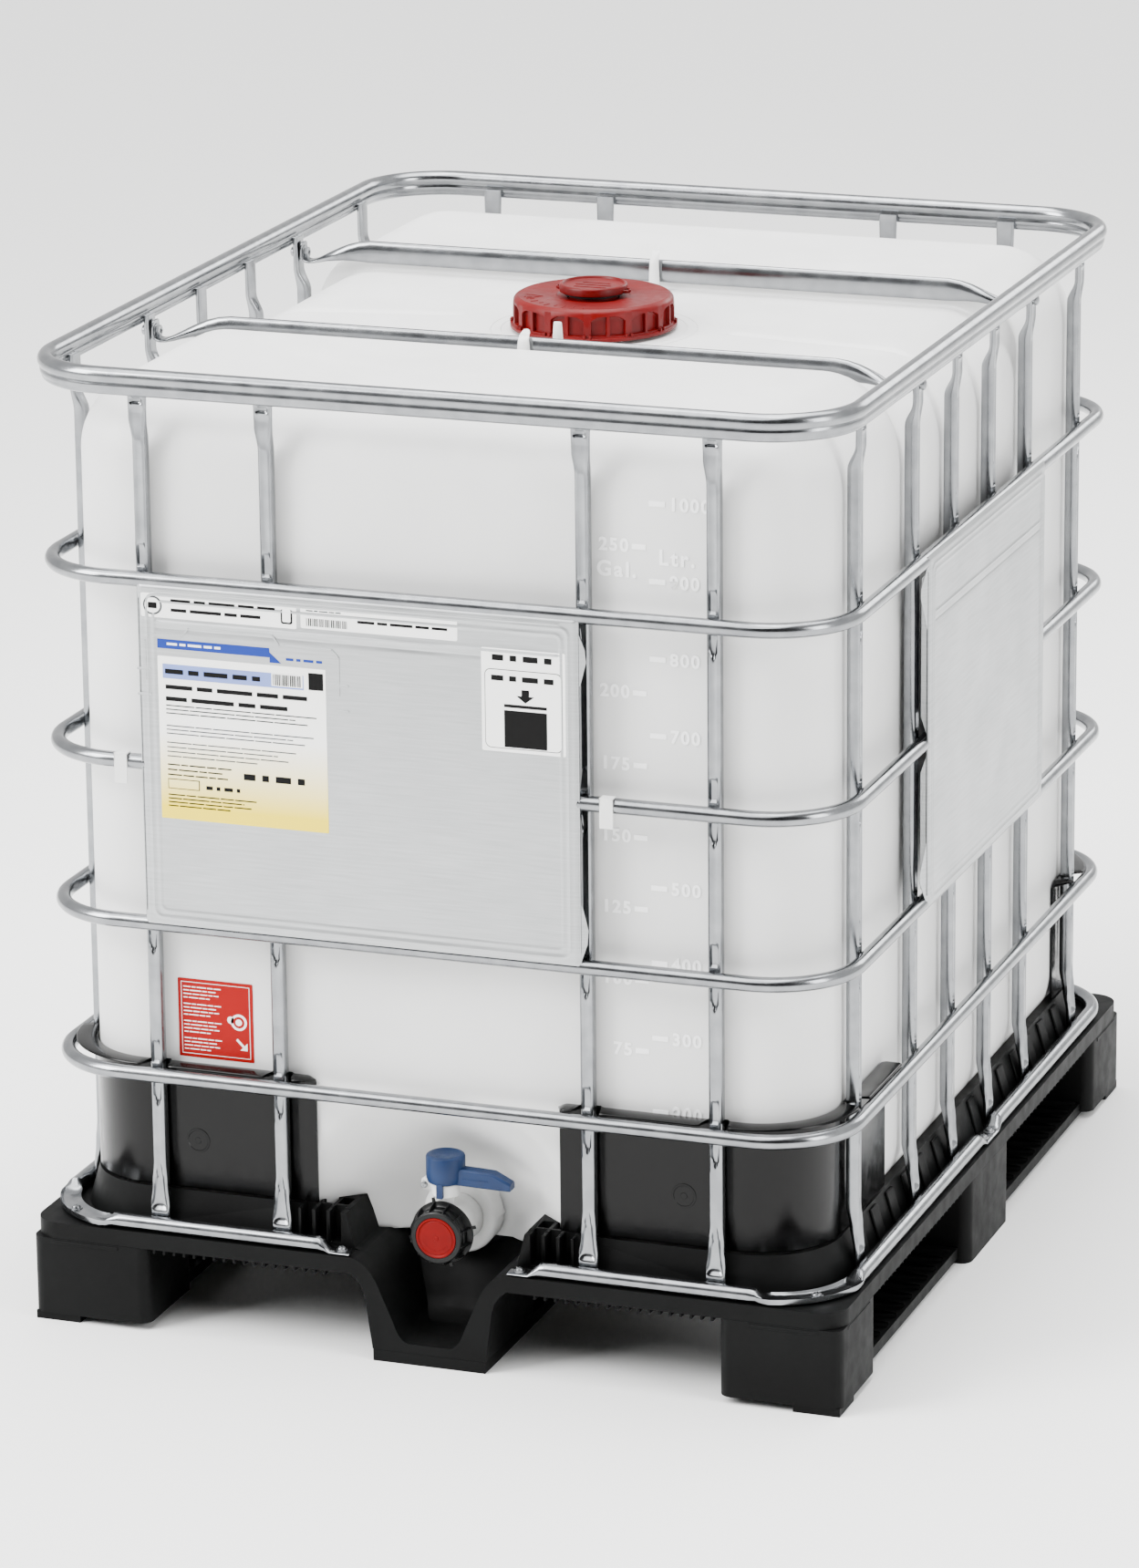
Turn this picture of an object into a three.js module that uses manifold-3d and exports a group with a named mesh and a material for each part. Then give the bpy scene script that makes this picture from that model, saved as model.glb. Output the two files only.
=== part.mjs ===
// Intermediate bulk container: a blow-moulded bottle in a welded tube cage on a plastic pallet.
// Millimetres, +Z up, origin on the floor under the middle. The valve faces -Y, and +X is on its right.
import * as THREE from 'three';
import { ConvexGeometry } from 'three/addons/geometries/ConvexGeometry.js';
import { RoundedBoxGeometry } from 'three/addons/geometries/RoundedBoxGeometry.js';
import { mergeVertices } from 'three/addons/utils/BufferGeometryUtils.js';
import Module from 'manifold-3d';

const wasm = await Module();
wasm.setup();

// ---- Driving dimensions ----
const WIDTH = 1000;
const DEPTH = 1200;
const HEIGHT = 1160;
const GAP = 0.3;

// Cage rings: centre lines of the horizontal tubes
const RING_HALF_X = 485.4;
const RING_HALF_Y = 587.5;
const RING_CORNER = 100;
const RING_RADIUS = 9;
const RING_HEIGHTS = { ring_2: 914.8, ring_3: 697.7, ring_4: 504, ring_5: 317.3 };
const TOP_TUBE_RADIUS = 10;
const TOP_BEAD_RADIUS = 6.5;
const TOP_BEAD_HEIGHT = 1134.5;
const TUBE_SIDES = 8;
const CORNER_STEPS = 2;

// Base tube on the pallet rim
const BASE_HALF_X = 488;
const BASE_HALF_Y = 590;
const BASE_HEIGHT = 133.5;
const BASE_FRONT_END = 97.7;
const BASE_SIDE_JOINT = 22;
const BASE_END_THICKNESS = 4;

// Upright tubes, which stand just inside the rings
const UPRIGHT_RADIUS = 8;
const UPRIGHT_FOOT_HEIGHT = 127.5;
const UPRIGHT_TOP_HEIGHT = 1139.7;
const FRONT_UPRIGHTS = [-343.2, -189.4, 189.4, 343.2];
const SIDE_UPRIGHTS = [-451.7, -234, -77.2, 77.2, 234, 451.7];

// Cross bars over the bottle
const BAR_Y = 226;
const BAR_Z = 1127.6;
const BAR_DEPTH = 12;
const BAR_HEIGHT = 28;
const BAR_STRAIGHT_HALF = 418;
const BAR_BOLT_Y = 234;
const BAR_BOLT_Z = 1120;
const BAR_TAB_X = 466;
const BAR_TAB_THICKNESS = 3;
const BAR_TAB_HALF_Y = 11;
const BAR_TAB_HALF_Z = 13;
const BAR_FOOT_HALF_Y = 9;
const BAR_FOOT_HALF_Z = 2.2;
const BAR_FOOT_X = 452;
const BAR_FOOT_Z = 1108.8;
const BOLT_RADIUS = 4;

// Bottle
const BOTTLE_HALF_X = 455;
const BOTTLE_HALF_Y = 557;
const BOTTLE_BOTTOM = 118.4;
const BOTTLE_TOP = 1131;
const BOTTLE_ROUNDING = 90;
const BOTTLE_WALL = 3;
const SADDLE_HALF = 236;
const SADDLE_FLOOR = 1104;
const SADDLE_SLOPE = 5;
const NECK_RADIUS = 80;
const NECK_WALL = 7;
const NECK_TOP = 1132;
const TOP_PANEL_HALF_X = 410;
const TOP_PANEL_HALF_Y = 226;
const OUTLET_PANEL_RADIUS = 100;

// Outlet and valve, on a line parallel to Y
const OUTLET_Z = 149;
const RECESS_FLOOR_Y = -462;
const RECESS_FLOOR_RADIUS = 60;
const RECESS_RIM_RADIUS = 175;
const STUB_RADIUS = 30;
const STUB_BORE = 25;
const STUB_END_Y = -476;
const UNION_BACK_Y = -464;
const UNION_FRONT_Y = -494;
const UNION_RADIUS = 45;
const VALVE_BACK_Y = -479;
const VALVE_FLANGE_Y = -487;
const VALVE_SHOULDER_Y = -546.5;
const VALVE_FRONT_Y = -566;
const VALVE_RADIUS = 29;
const VALVE_BORE = 24;
const SPOUT_RADIUS = 27.5;
const STEM_Y = -536;
const STEM_RADIUS = 5;
const COLLAR_RADIUS = 16.5;
const COLLAR_TOP = 206.5;
const STEM_TUBE_RADIUS = 10.4;
const EAR = { left: -34, right: -12, front: -529, back: -521, bottom: 191 };
const SCREW_X = -29.5;
const SCREW_Z = 197.5;
const SCREW_RADIUS = 2;
const SCREW_HEAD_RADIUS = 4.2;
const SCREW_HEAD = 3.7;
const SCREW_END_Y = -518;
const HUB_RADIUS = 23;
const HUB_BOTTOM = 207;
const HUB_TOP = 241.5;
const LEVER_REACH = 83;
const LEVER_ROOT = 10;
const BLADE_HEIGHT = 20;
const STOP_FINGER_DEPTH = 15;
const DUST_CAP_FACE_Y = -572;
const DUST_CAP_BACK_Y = -548;
const DUST_CAP_BACK_RADIUS = 37;
const DUST_CAP_FACE_RADIUS = 30;
const DUST_CAP_RIBS = 12;
const RIB_LENGTH = 10;
const RIB_WIDTH = 16;
const RIB_THICKNESS = 4;

// Fill cap
const CAP_FLANGE_BOTTOM = 1108;
const CAP_FLANGE_RADIUS = 100;
const CAP_RADIUS = 96.5;
const CAP_TOP = 1146;
const CAP_PLATE_BOTTOM = 1136.3;
const PLUG_RADIUS = 40.5;
const PLUG_TOP = 1159.5;
const PLUG_THREAD_RADIUS = 29.5;

// Pallet
const DECK_BOTTOM = 104;
const DECK_RIM = 124;
const DECK_FLOOR = 118;
const POCKET_TOP = 112;
const CURB_TOP = 168;
const CURB_BASE_HALF_X = 471.5;
const CURB_BASE_HALF_Y = 573.5;
const CURB_TOP_CLEARANCE = 3.6;
const SHOULDER_NEAR_X = 40;
const SHOULDER_FAR_X = 170;
const SHOULDER_BACK_Y = -500;
const TROUGH_BACK_Y = -448;
const TROUGH_LINER_BOTTOM = 14.3;
const FOOT_TOP = 103.7;
const FOOT_INNER_X = 353;
const FOOT_INNER_Y = 465;
const MID_FOOT_HALF = 85;
const FOOT_STEP = 9;
const PAD_INNER_X = 440;
const PAD_INNER_Y = 542;
const RUNNER_BOTTOM = 6;
const RUNNER_TOP = 20;
const CENTRE_SKID_HALF = 69.5;

// Corner guards between the bottle and the uprights
const GUARD_BOTTOM = 172;
const GUARD_TOP = 329.5;
const GUARD_INNER_OFFSET = 0.6;
const GUARD_THICKNESS = 3.2;
const GUARD_FRONT_X = 150;
const GUARD_EDGE_FRONT_Y = 300;
const GUARD_EDGE_REAR_Y = 420;
const GUARD_LIP_BOTTOM = 326.6;
const GUARD_LIP_REACH = 28;

// Label plates on the front and on the right side
const PLATE_THICKNESS = 1.2;
const PLATE_FLANGE = 10;
const PLATE_FLANGE_INSET = 18;
const FRONT_PLATE = { low: -342, high: 191, bottom: 504, top: 913 };
const SIDE_PLATE = { low: -250, high: 236, bottom: 498, top: 922 };

// ---- Materials ----
function paint(color, roughness, metalness) {
  return new THREE.MeshStandardMaterial({ color, roughness, metalness });
}
const cageSteel = paint('#c9cbcd', 0.28, 1);
const sheetSteel = paint('#d6d7d8', 0.4, 1);
const boltSteel = paint('#b9bbbe', 0.35, 1);
const bottlePlastic = paint('#eeeeec', 0.45, 0);
const palletPlastic = paint('#1b1c1c', 0.6, 0);
const guardPlastic = paint('#141515', 0.4, 0);
const redPlastic = paint('#a3202a', 0.4, 0);
const discPlastic = paint('#bf2a28', 0.4, 0);
const bluePlastic = paint('#2b5083', 0.4, 0);
const valvePlastic = paint('#e4e4e2', 0.4, 0);
const blackPlastic = paint('#191a1a', 0.45, 0);
const sealRubber = paint('#2a2a2a', 0.8, 0);

// ---- Shape helpers ----
const container = new THREE.Group();

function weld(geometry) {
  const bare = geometry.clone();
  bare.deleteAttribute('normal');
  bare.deleteAttribute('uv');
  return mergeVertices(bare, 1e-4);
}

function solid(geometry) {
  const welded = weld(geometry);
  const vertProperties = new Float32Array(welded.attributes.position.array);
  const triVerts = new Uint32Array(welded.index.array);
  return new wasm.Manifold(new wasm.Mesh({ numProp: 3, vertProperties, triVerts }));
}

function join(shapes) {
  return shapes.reduce((whole, shape) => whole.add(shape));
}

function geometryOf(shape) {
  const { vertProperties, triVerts } = shape.getMesh();
  const geometry = new THREE.BufferGeometry();
  geometry.setAttribute('position', new THREE.BufferAttribute(new Float32Array(vertProperties), 3));
  geometry.setIndex(new THREE.BufferAttribute(new Uint32Array(triVerts), 1));
  return geometry;
}

function addPiece(name, shape, material) {
  const geometry = shape.isBufferGeometry ? weld(shape) : geometryOf(shape);
  geometry.computeVertexNormals();
  const piece = new THREE.Mesh(geometry, material);
  piece.name = name;
  container.add(piece);
}

function block(x0, x1, y0, y1, z0, z1) {
  const geometry = new THREE.BoxGeometry(x1 - x0, y1 - y0, z1 - z0);
  return solid(geometry.translate((x0 + x1) / 2, (y0 + y1) / 2, (z0 + z1) / 2));
}

// A block about its middle
function blockAt(x, y, z, halfX, halfY, halfZ) {
  return block(x - halfX, x + halfX, y - halfY, y + halfY, z - halfZ, z + halfZ);
}

// A round bar standing between two heights
function uprightRound(x, y, z0, z1, radius, sides = 24) {
  const geometry = new THREE.CylinderGeometry(radius, radius, z1 - z0, sides);
  return solid(geometry.rotateX(Math.PI / 2).translate(x, y, (z0 + z1) / 2));
}

// A round bar along the outlet's line, or a cone where the back radius differs
function outletRound(yFront, yBack, radius, sides = 24, backRadius = radius) {
  const geometry = new THREE.CylinderGeometry(backRadius, radius, yBack - yFront, sides);
  return solid(geometry.translate(0, (yFront + yBack) / 2, OUTLET_Z));
}

// The same along X
function crosswiseRound(x0, x1, y, z, radius, sides) {
  const geometry = new THREE.CylinderGeometry(radius, radius, x1 - x0, sides);
  return solid(geometry.rotateZ(Math.PI / 2).translate((x0 + x1) / 2, y, z));
}

// A closed outline turned about the vertical axis; each point is [radius, height]
function turned(outline, sides) {
  const points = [...outline, outline[0]].map(([radius, height]) => new THREE.Vector2(radius, height));
  return solid(new THREE.LatheGeometry(points, sides).rotateX(Math.PI / 2));
}

function outlineShape(points) {
  return new THREE.Shape(points.map(([a, b]) => new THREE.Vector2(a, b)));
}

// An outline in X and Z, pushed along Y
function pushedAlongY(shape, y0, y1) {
  const options = { depth: y1 - y0, bevelEnabled: false, curveSegments: 4 };
  const geometry = new THREE.ExtrudeGeometry(shape, options);
  return solid(geometry.rotateX(Math.PI / 2).translate(0, y1, 0));
}

// An outline in Y and Z, pushed along X
function pushedAlongX(shape, x0, x1) {
  const options = { depth: x1 - x0, bevelEnabled: false, curveSegments: 4 };
  const geometry = new THREE.ExtrudeGeometry(shape, options);
  geometry.rotateX(Math.PI / 2).rotateZ(Math.PI / 2);
  return solid(geometry.translate(x0, 0, 0));
}

function roundedOutline(halfX, halfY, radius) {
  const shape = new THREE.Shape();
  shape.absarc(halfX - radius, halfY - radius, radius, 0, Math.PI / 2);
  shape.absarc(radius - halfX, halfY - radius, radius, Math.PI / 2, Math.PI);
  shape.absarc(radius - halfX, radius - halfY, radius, Math.PI, 1.5 * Math.PI);
  shape.absarc(halfX - radius, radius - halfY, radius, 1.5 * Math.PI, 2 * Math.PI);
  return shape;
}

function roundedSlab(halfX, halfY, radius, z0, z1, curveSegments = 4) {
  const options = { depth: z1 - z0, bevelEnabled: false, curveSegments };
  return solid(new THREE.ExtrudeGeometry(roundedOutline(halfX, halfY, radius), options).translate(0, 0, z0));
}

// One oval section of a tube: across and up are the directions of its width and height
function ovalSection(centre, across, up, width, height, sides = TUBE_SIDES) {
  return Array.from({ length: sides }, (_, side) => {
    const turn = (2 * Math.PI * side) / sides;
    return centre.clone()
      .addScaledVector(across, (width / 2) * Math.cos(turn))
      .addScaledVector(up, (height / 2) * Math.sin(turn));
  });
}

// The skin of a tube through its sections, either capped at both ends or closed on itself
function tubeSkin(sections, closed = false) {
  const sides = sections[0].length;
  const rows = closed ? sections.length : sections.length - 1;
  const index = [];
  for (let row = 0; row < rows; row += 1) {
    const here = row * sides;
    const there = ((row + 1) % sections.length) * sides;
    for (let side = 0; side < sides; side += 1) {
      const next = (side + 1) % sides;
      index.push(here + side, here + next, there + next);
      index.push(here + side, there + next, there + side);
    }
  }
  if (!closed) {
    const last = (sections.length - 1) * sides;
    for (let side = 1; side + 1 < sides; side += 1) {
      index.push(0, side + 1, side);
      index.push(last, last + side, last + side + 1);
    }
  }
  const positions = sections.flat().flatMap((point) => point.toArray());
  const geometry = new THREE.BufferGeometry();
  geometry.setAttribute('position', new THREE.Float32BufferAttribute(positions, 3));
  geometry.setIndex(index);
  return geometry;
}

const UP = new THREE.Vector3(0, 0, 1);

// Sections of a level tube along a flat path; flatEnds presses its first and last sections flat
function levelSections(points, z, radius, closed, flatEnds) {
  const count = points.length;
  return points.map((point, place) => {
    const before = points[closed ? (place + count - 1) % count : Math.max(place - 1, 0)];
    const after = points[closed ? (place + 1) % count : Math.min(place + 1, count - 1)];
    const along = new THREE.Vector2().subVectors(after, before).normalize();
    const across = new THREE.Vector3(-along.y, along.x, 0);
    const pressed = flatEnds && (place < 2 || place > count - 3);
    const height = pressed ? BASE_END_THICKNESS : 2 * radius;
    const width = pressed ? 2.1 * radius : 2 * radius;
    const drop = pressed ? radius - BASE_END_THICKNESS / 2 : 0;
    const centre = new THREE.Vector3(point.x, point.y, z - drop);
    return ovalSection(centre, across, UP, width, height);
  });
}

function ringPoints(halfX, halfY) {
  const path = new THREE.Path();
  const [straightX, straightY] = [halfX - RING_CORNER, halfY - RING_CORNER];
  path.absarc(straightX, straightY, RING_CORNER, 0, Math.PI / 2);
  path.absarc(-straightX, straightY, RING_CORNER, Math.PI / 2, Math.PI);
  path.absarc(-straightX, -straightY, RING_CORNER, Math.PI, 1.5 * Math.PI);
  path.absarc(straightX, -straightY, RING_CORNER, 1.5 * Math.PI, 2 * Math.PI);
  return path.getPoints(CORNER_STEPS);
}

function closedRing(z, radius) {
  return tubeSkin(levelSections(ringPoints(RING_HALF_X, RING_HALF_Y), z, radius, true, false), true);
}

// ---- Bottle ----
// The outside of the bottle drawn in by an inset, or let out by a negative one
function bottleBody(inset) {
  const halfX = BOTTLE_HALF_X - inset;
  const halfY = BOTTLE_HALF_Y - inset;
  const low = BOTTLE_BOTTOM + inset;
  const high = BOTTLE_TOP - inset;
  const hull = new RoundedBoxGeometry(2 * halfX, 2 * halfY, high - low, 2, BOTTLE_ROUNDING - inset);
  const saddleHalf = SADDLE_HALF + inset;
  const rise = BOTTLE_TOP + 20 - SADDLE_FLOOR;
  const saddleTop = saddleHalf + (SADDLE_SLOPE * rise) / (BOTTLE_TOP - SADDLE_FLOOR);
  const saddle = outlineShape([
    [-saddleHalf, SADDLE_FLOOR - inset],
    [saddleHalf, SADDLE_FLOOR - inset],
    [saddleTop, SADDLE_FLOOR + rise],
    [-saddleTop, SADDLE_FLOOR + rise],
  ]);
  const spread = (RECESS_RIM_RADIUS - RECESS_FLOOR_RADIUS) / (RECESS_FLOOR_Y + BOTTLE_HALF_Y);
  const recessFront = -BOTTLE_HALF_Y - 15;
  const recessRadius = RECESS_FLOOR_RADIUS + inset;
  const recessMouth = recessRadius + spread * (RECESS_FLOOR_Y - recessFront);
  const recess = outletRound(recessFront, RECESS_FLOOR_Y + inset, recessMouth, 32, recessRadius);
  return solid(hull.translate(0, 0, (low + high) / 2))
    .subtract(pushedAlongX(saddle, -BOTTLE_HALF_X - 20, BOTTLE_HALF_X + 20))
    .subtract(recess);
}

function bottleShell() {
  const neck = uprightRound(0, 0, SADDLE_FLOOR - 2, NECK_TOP, NECK_RADIUS, 32);
  const stub = outletRound(STUB_END_Y, RECESS_FLOOR_Y + 1, STUB_RADIUS, 24);
  return bottleBody(0)
    .add(neck)
    .add(stub)
    .subtract(bottleBody(BOTTLE_WALL))
    .subtract(uprightRound(0, 0, SADDLE_FLOOR - 12, NECK_TOP + 1, NECK_RADIUS - NECK_WALL, 32))
    .subtract(outletRound(STUB_END_Y - 1, RECESS_FLOOR_Y + 8, STUB_BORE, 24));
}

// The shell is held as three solids: its body, the flat panel with the fill neck, and the outlet funnel
function bottleParts() {
  const shell = bottleShell();
  const [panelX, panelY] = [TOP_PANEL_HALF_X, TOP_PANEL_HALF_Y];
  const panelBottom = SADDLE_FLOOR - 12;
  const topPanel = block(-panelX, panelX, -panelY, panelY, panelBottom, NECK_TOP + 1);
  const topSpace = block(
    -panelX - GAP, panelX + GAP, -panelY - GAP, panelY + GAP, panelBottom - GAP, NECK_TOP + 1,
  );
  const outletBack = RECESS_FLOOR_Y + 12;
  const outletPanel = outletRound(-BOTTLE_HALF_Y - 1, outletBack, OUTLET_PANEL_RADIUS, 32);
  const outletSpace = outletRound(-BOTTLE_HALF_Y - 1, outletBack + GAP, OUTLET_PANEL_RADIUS + GAP, 32);
  return {
    bottle: shell.subtract(topSpace).subtract(outletSpace),
    bottle_top_panel: shell.intersect(topPanel),
    bottle_outlet: shell.intersect(outletPanel),
  };
}
for (const [name, shape] of Object.entries(bottleParts())) {
  addPiece(name, shape, bottlePlastic);
}

// ---- Fill cap, its seal and the centre plug ----
function fillCap() {
  const neckSpace = NECK_RADIUS + 1.5;
  return turned([
    [PLUG_THREAD_RADIUS + 1.3, CAP_PLATE_BOTTOM],
    [neckSpace, CAP_PLATE_BOTTOM],
    [neckSpace, CAP_FLANGE_BOTTOM],
    [CAP_FLANGE_RADIUS, CAP_FLANGE_BOTTOM],
    [CAP_FLANGE_RADIUS, CAP_FLANGE_BOTTOM + 5],
    [CAP_RADIUS, CAP_FLANGE_BOTTOM + 5],
    [CAP_RADIUS, CAP_TOP - 5],
    [CAP_RADIUS - 5, CAP_TOP],
    [PLUG_THREAD_RADIUS + 1.3, CAP_TOP],
  ], 32);
}
addPiece('fill_cap', fillCap(), redPlastic);
addPiece('fill_cap_gasket', turned([
  [NECK_RADIUS - NECK_WALL, NECK_TOP + GAP],
  [NECK_RADIUS, NECK_TOP + GAP],
  [NECK_RADIUS, CAP_PLATE_BOTTOM - GAP],
  [NECK_RADIUS - NECK_WALL, CAP_PLATE_BOTTOM - GAP],
], 24), sealRubber);

function centrePlug() {
  const rimBottom = CAP_TOP + 3.3;
  const lugs = [-1, 1].map((side) => block(
    Math.min(side * 34, side * 46), Math.max(side * 34, side * 46), -7, 7, rimBottom, rimBottom + 5,
  ));
  const body = turned([
    [0, CAP_PLATE_BOTTOM - 4],
    [PLUG_THREAD_RADIUS, CAP_PLATE_BOTTOM - 4],
    [PLUG_THREAD_RADIUS, rimBottom],
    [PLUG_RADIUS, rimBottom],
    [PLUG_RADIUS, PLUG_TOP - 2],
    [PLUG_RADIUS - 2, PLUG_TOP],
    [PLUG_RADIUS - 6, PLUG_TOP],
    [PLUG_RADIUS - 7, PLUG_TOP - 2],
    [0, PLUG_TOP - 2],
  ], 24);
  return join([body, ...lugs]);
}
addPiece('centre_plug', centrePlug(), redPlastic);
addPiece('plug_gasket', turned([
  [PLUG_THREAD_RADIUS + 1, CAP_TOP + GAP],
  [PLUG_THREAD_RADIUS + 6, CAP_TOP + GAP],
  [PLUG_THREAD_RADIUS + 6, CAP_TOP + 3],
  [PLUG_THREAD_RADIUS + 1, CAP_TOP + 3],
], 24), sealRubber);

// ---- Outlet valve ----
addPiece('outlet_gasket', outletRound(VALVE_BACK_Y + GAP, STUB_END_Y - GAP, STUB_RADIUS, 24)
  .subtract(outletRound(VALVE_BACK_Y, STUB_END_Y, STUB_BORE, 24)), sealRubber);

// A round bar along the locking screw's line
function screwRound(y0, y1, radius) {
  const geometry = new THREE.CylinderGeometry(radius, radius, y1 - y0, 12);
  return solid(geometry.translate(SCREW_X, (y0 + y1) / 2, SCREW_Z));
}

function unionNut() {
  const flangeSpace = outletRound(VALVE_FLANGE_Y - GAP, UNION_BACK_Y + 1, STUB_RADIUS + 3, 24);
  const barrelSpace = outletRound(UNION_FRONT_Y - 1, VALVE_FLANGE_Y + 1, VALVE_RADIUS + GAP + 0.1, 24);
  return outletRound(UNION_FRONT_Y, UNION_BACK_Y, UNION_RADIUS, 12, UNION_RADIUS + 1)
    .subtract(flangeSpace)
    .subtract(barrelSpace);
}
addPiece('union_nut', unionNut(), valvePlastic);

function valveBody() {
  const outside = join([
    outletRound(VALVE_FLANGE_Y, VALVE_BACK_Y, STUB_RADIUS + 2.4, 24),
    outletRound(VALVE_SHOULDER_Y, VALVE_FLANGE_Y + 1, VALVE_RADIUS, 24),
    outletRound(VALVE_FRONT_Y, VALVE_SHOULDER_Y + 1, SPOUT_RADIUS, 24),
    uprightRound(0, STEM_Y, OUTLET_Z, COLLAR_TOP - 12, STEM_TUBE_RADIUS, 16),
    uprightRound(0, STEM_Y, COLLAR_TOP - 16, COLLAR_TOP, COLLAR_RADIUS, 16),
    block(EAR.left, EAR.right, EAR.front, EAR.back, EAR.bottom, COLLAR_TOP),
  ]);
  return outside
    .subtract(outletRound(VALVE_FRONT_Y - 1, VALVE_BACK_Y + 1, VALVE_BORE, 32))
    .subtract(uprightRound(0, STEM_Y, OUTLET_Z - VALVE_BORE - 2.5, COLLAR_TOP + 1, STEM_RADIUS + GAP, 16))
    .subtract(screwRound(EAR.front - 1, EAR.back + 1, SCREW_RADIUS + GAP));
}
addPiece('valve_body', valveBody(), valvePlastic);

function securityScrew() {
  const headBack = EAR.front - GAP;
  const head = screwRound(headBack - SCREW_HEAD, headBack, SCREW_HEAD_RADIUS);
  return head.add(screwRound(headBack - 1, SCREW_END_Y, SCREW_RADIUS));
}
addPiece('security_screw', securityScrew(), boltSteel);

function valveFlap() {
  const disc = outletRound(STEM_Y - 2, STEM_Y + 2, VALVE_BORE - 0.7, 32);
  const stem = uprightRound(0, STEM_Y, OUTLET_Z - VALVE_BORE - 2, HUB_TOP - 14, STEM_RADIUS, 16);
  return disc.add(stem);
}
addPiece('valve_flap', valveFlap(), valvePlastic);

function lever() {
  const blade = outlineShape([
    [LEVER_ROOT, HUB_BOTTOM],
    [LEVER_REACH - 3, HUB_BOTTOM - 1],
    [LEVER_REACH, HUB_BOTTOM + 2],
    [LEVER_REACH, HUB_BOTTOM + 7],
    [LEVER_REACH - 22, HUB_BOTTOM + BLADE_HEIGHT - 1],
    [LEVER_ROOT, HUB_BOTTOM + BLADE_HEIGHT],
  ]);
  const fingerFront = STEM_Y - HUB_RADIUS + 0.4;
  const fingerBack = STEM_Y - COLLAR_RADIUS - 1;
  const fingerEnd = HUB_BOTTOM - STOP_FINGER_DEPTH;
  const stopFinger = block(-4, 4, fingerFront, fingerBack, fingerEnd, HUB_BOTTOM + 1);
  return join([
    uprightRound(0, STEM_Y, HUB_BOTTOM, HUB_TOP, HUB_RADIUS, 24),
    pushedAlongY(blade, STEM_Y - 11, STEM_Y + 7),
    stopFinger,
  ]).subtract(uprightRound(0, STEM_Y, HUB_BOTTOM - 1, HUB_TOP - 13.7, STEM_RADIUS + GAP, 16));
}
addPiece('lever', lever(), bluePlastic);

// ---- Dust cap on the spout ----
const DISC_RADIUS = 24.5;
const DISC_BACK_Y = DUST_CAP_FACE_Y + 2.6;

function dustCap() {
  const backRadius = DUST_CAP_BACK_RADIUS - 2;
  const skirt = outletRound(DUST_CAP_FACE_Y, DUST_CAP_BACK_Y, DUST_CAP_FACE_RADIUS, 24, backRadius);
  const ribs = Array.from({ length: DUST_CAP_RIBS }, (_, rib) => {
    const turn = (2 * Math.PI * rib) / DUST_CAP_RIBS;
    const bar = new THREE.BoxGeometry(RIB_LENGTH, RIB_WIDTH, RIB_THICKNESS);
    bar.translate(DUST_CAP_BACK_RADIUS - RIB_LENGTH / 2, 0, 0).rotateY(turn);
    return solid(bar.translate(0, DUST_CAP_BACK_Y - RIB_WIDTH / 2, OUTLET_Z));
  });
  return join([skirt, ...ribs])
    .subtract(outletRound(VALVE_FRONT_Y - 2, DUST_CAP_BACK_Y + 1, SPOUT_RADIUS + 1.2, 24))
    .subtract(outletRound(DUST_CAP_FACE_Y - 1, DISC_BACK_Y + GAP, DISC_RADIUS + GAP, 24));
}
addPiece('dust_cap', dustCap(), blackPlastic);
addPiece('dust_cap_disc', outletRound(DUST_CAP_FACE_Y - 0.4, DISC_BACK_Y, DISC_RADIUS, 24), discPlastic);
addPiece('dust_cap_seal', outletRound(VALVE_FRONT_Y - 1.7, VALVE_FRONT_Y - GAP, SPOUT_RADIUS, 24)
  .subtract(outletRound(VALVE_FRONT_Y - 2, VALVE_FRONT_Y, VALVE_BORE, 24)), sealRubber);

// ---- Pallet ----
// The trough under the valve: an outline in X and Z, let out by a margin
function troughShape(margin, top) {
  const shape = new THREE.Shape();
  shape.moveTo(-27 - margin, 25.5 - margin);
  shape.lineTo(27 + margin, 25.5 - margin);
  shape.quadraticCurveTo(38 + margin, 30 - margin, 44 + margin, 50);
  shape.lineTo(64 + margin, 96);
  shape.quadraticCurveTo(76 + margin, 122, 100 + margin, 126);
  shape.lineTo(118 + margin, top);
  shape.lineTo(-118 - margin, top);
  shape.lineTo(-100 - margin, 126);
  shape.quadraticCurveTo(-76 - margin, 122, -64 - margin, 96);
  shape.lineTo(-44 - margin, 50);
  shape.quadraticCurveTo(-38 - margin, 30 - margin, -27 - margin, 25.5 - margin);
  return shape;
}

// The trough's outer walls, which flare from the centre skid up to the deck
function troughWalls() {
  const shape = new THREE.Shape();
  shape.moveTo(-70, TROUGH_LINER_BOTTOM);
  shape.lineTo(70, TROUGH_LINER_BOTTOM);
  shape.lineTo(78, 74);
  shape.quadraticCurveTo(82, 102, 110, DECK_BOTTOM + 6);
  shape.lineTo(-110, DECK_BOTTOM + 6);
  shape.quadraticCurveTo(-82, 102, -78, 74);
  shape.lineTo(-70, TROUGH_LINER_BOTTOM);
  return pushedAlongY(shape, -DEPTH / 2, TROUGH_BACK_Y + 6);
}

// The space that the trough leaves open, with a ramp up to the deck at its back
function troughSpace() {
  const channel = pushedAlongY(troughShape(0, 200), -DEPTH / 2 - 5, TROUGH_BACK_Y);
  const ramp = pushedAlongX(outlineShape([
    [-522, 0],
    [-522, 25.5],
    [-500, 38],
    [TROUGH_BACK_Y - 6, DECK_FLOOR],
    [TROUGH_BACK_Y + 10, DECK_FLOOR],
    [TROUGH_BACK_Y + 10, 0],
  ]), -160, 160);
  return channel.subtract(ramp);
}

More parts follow.
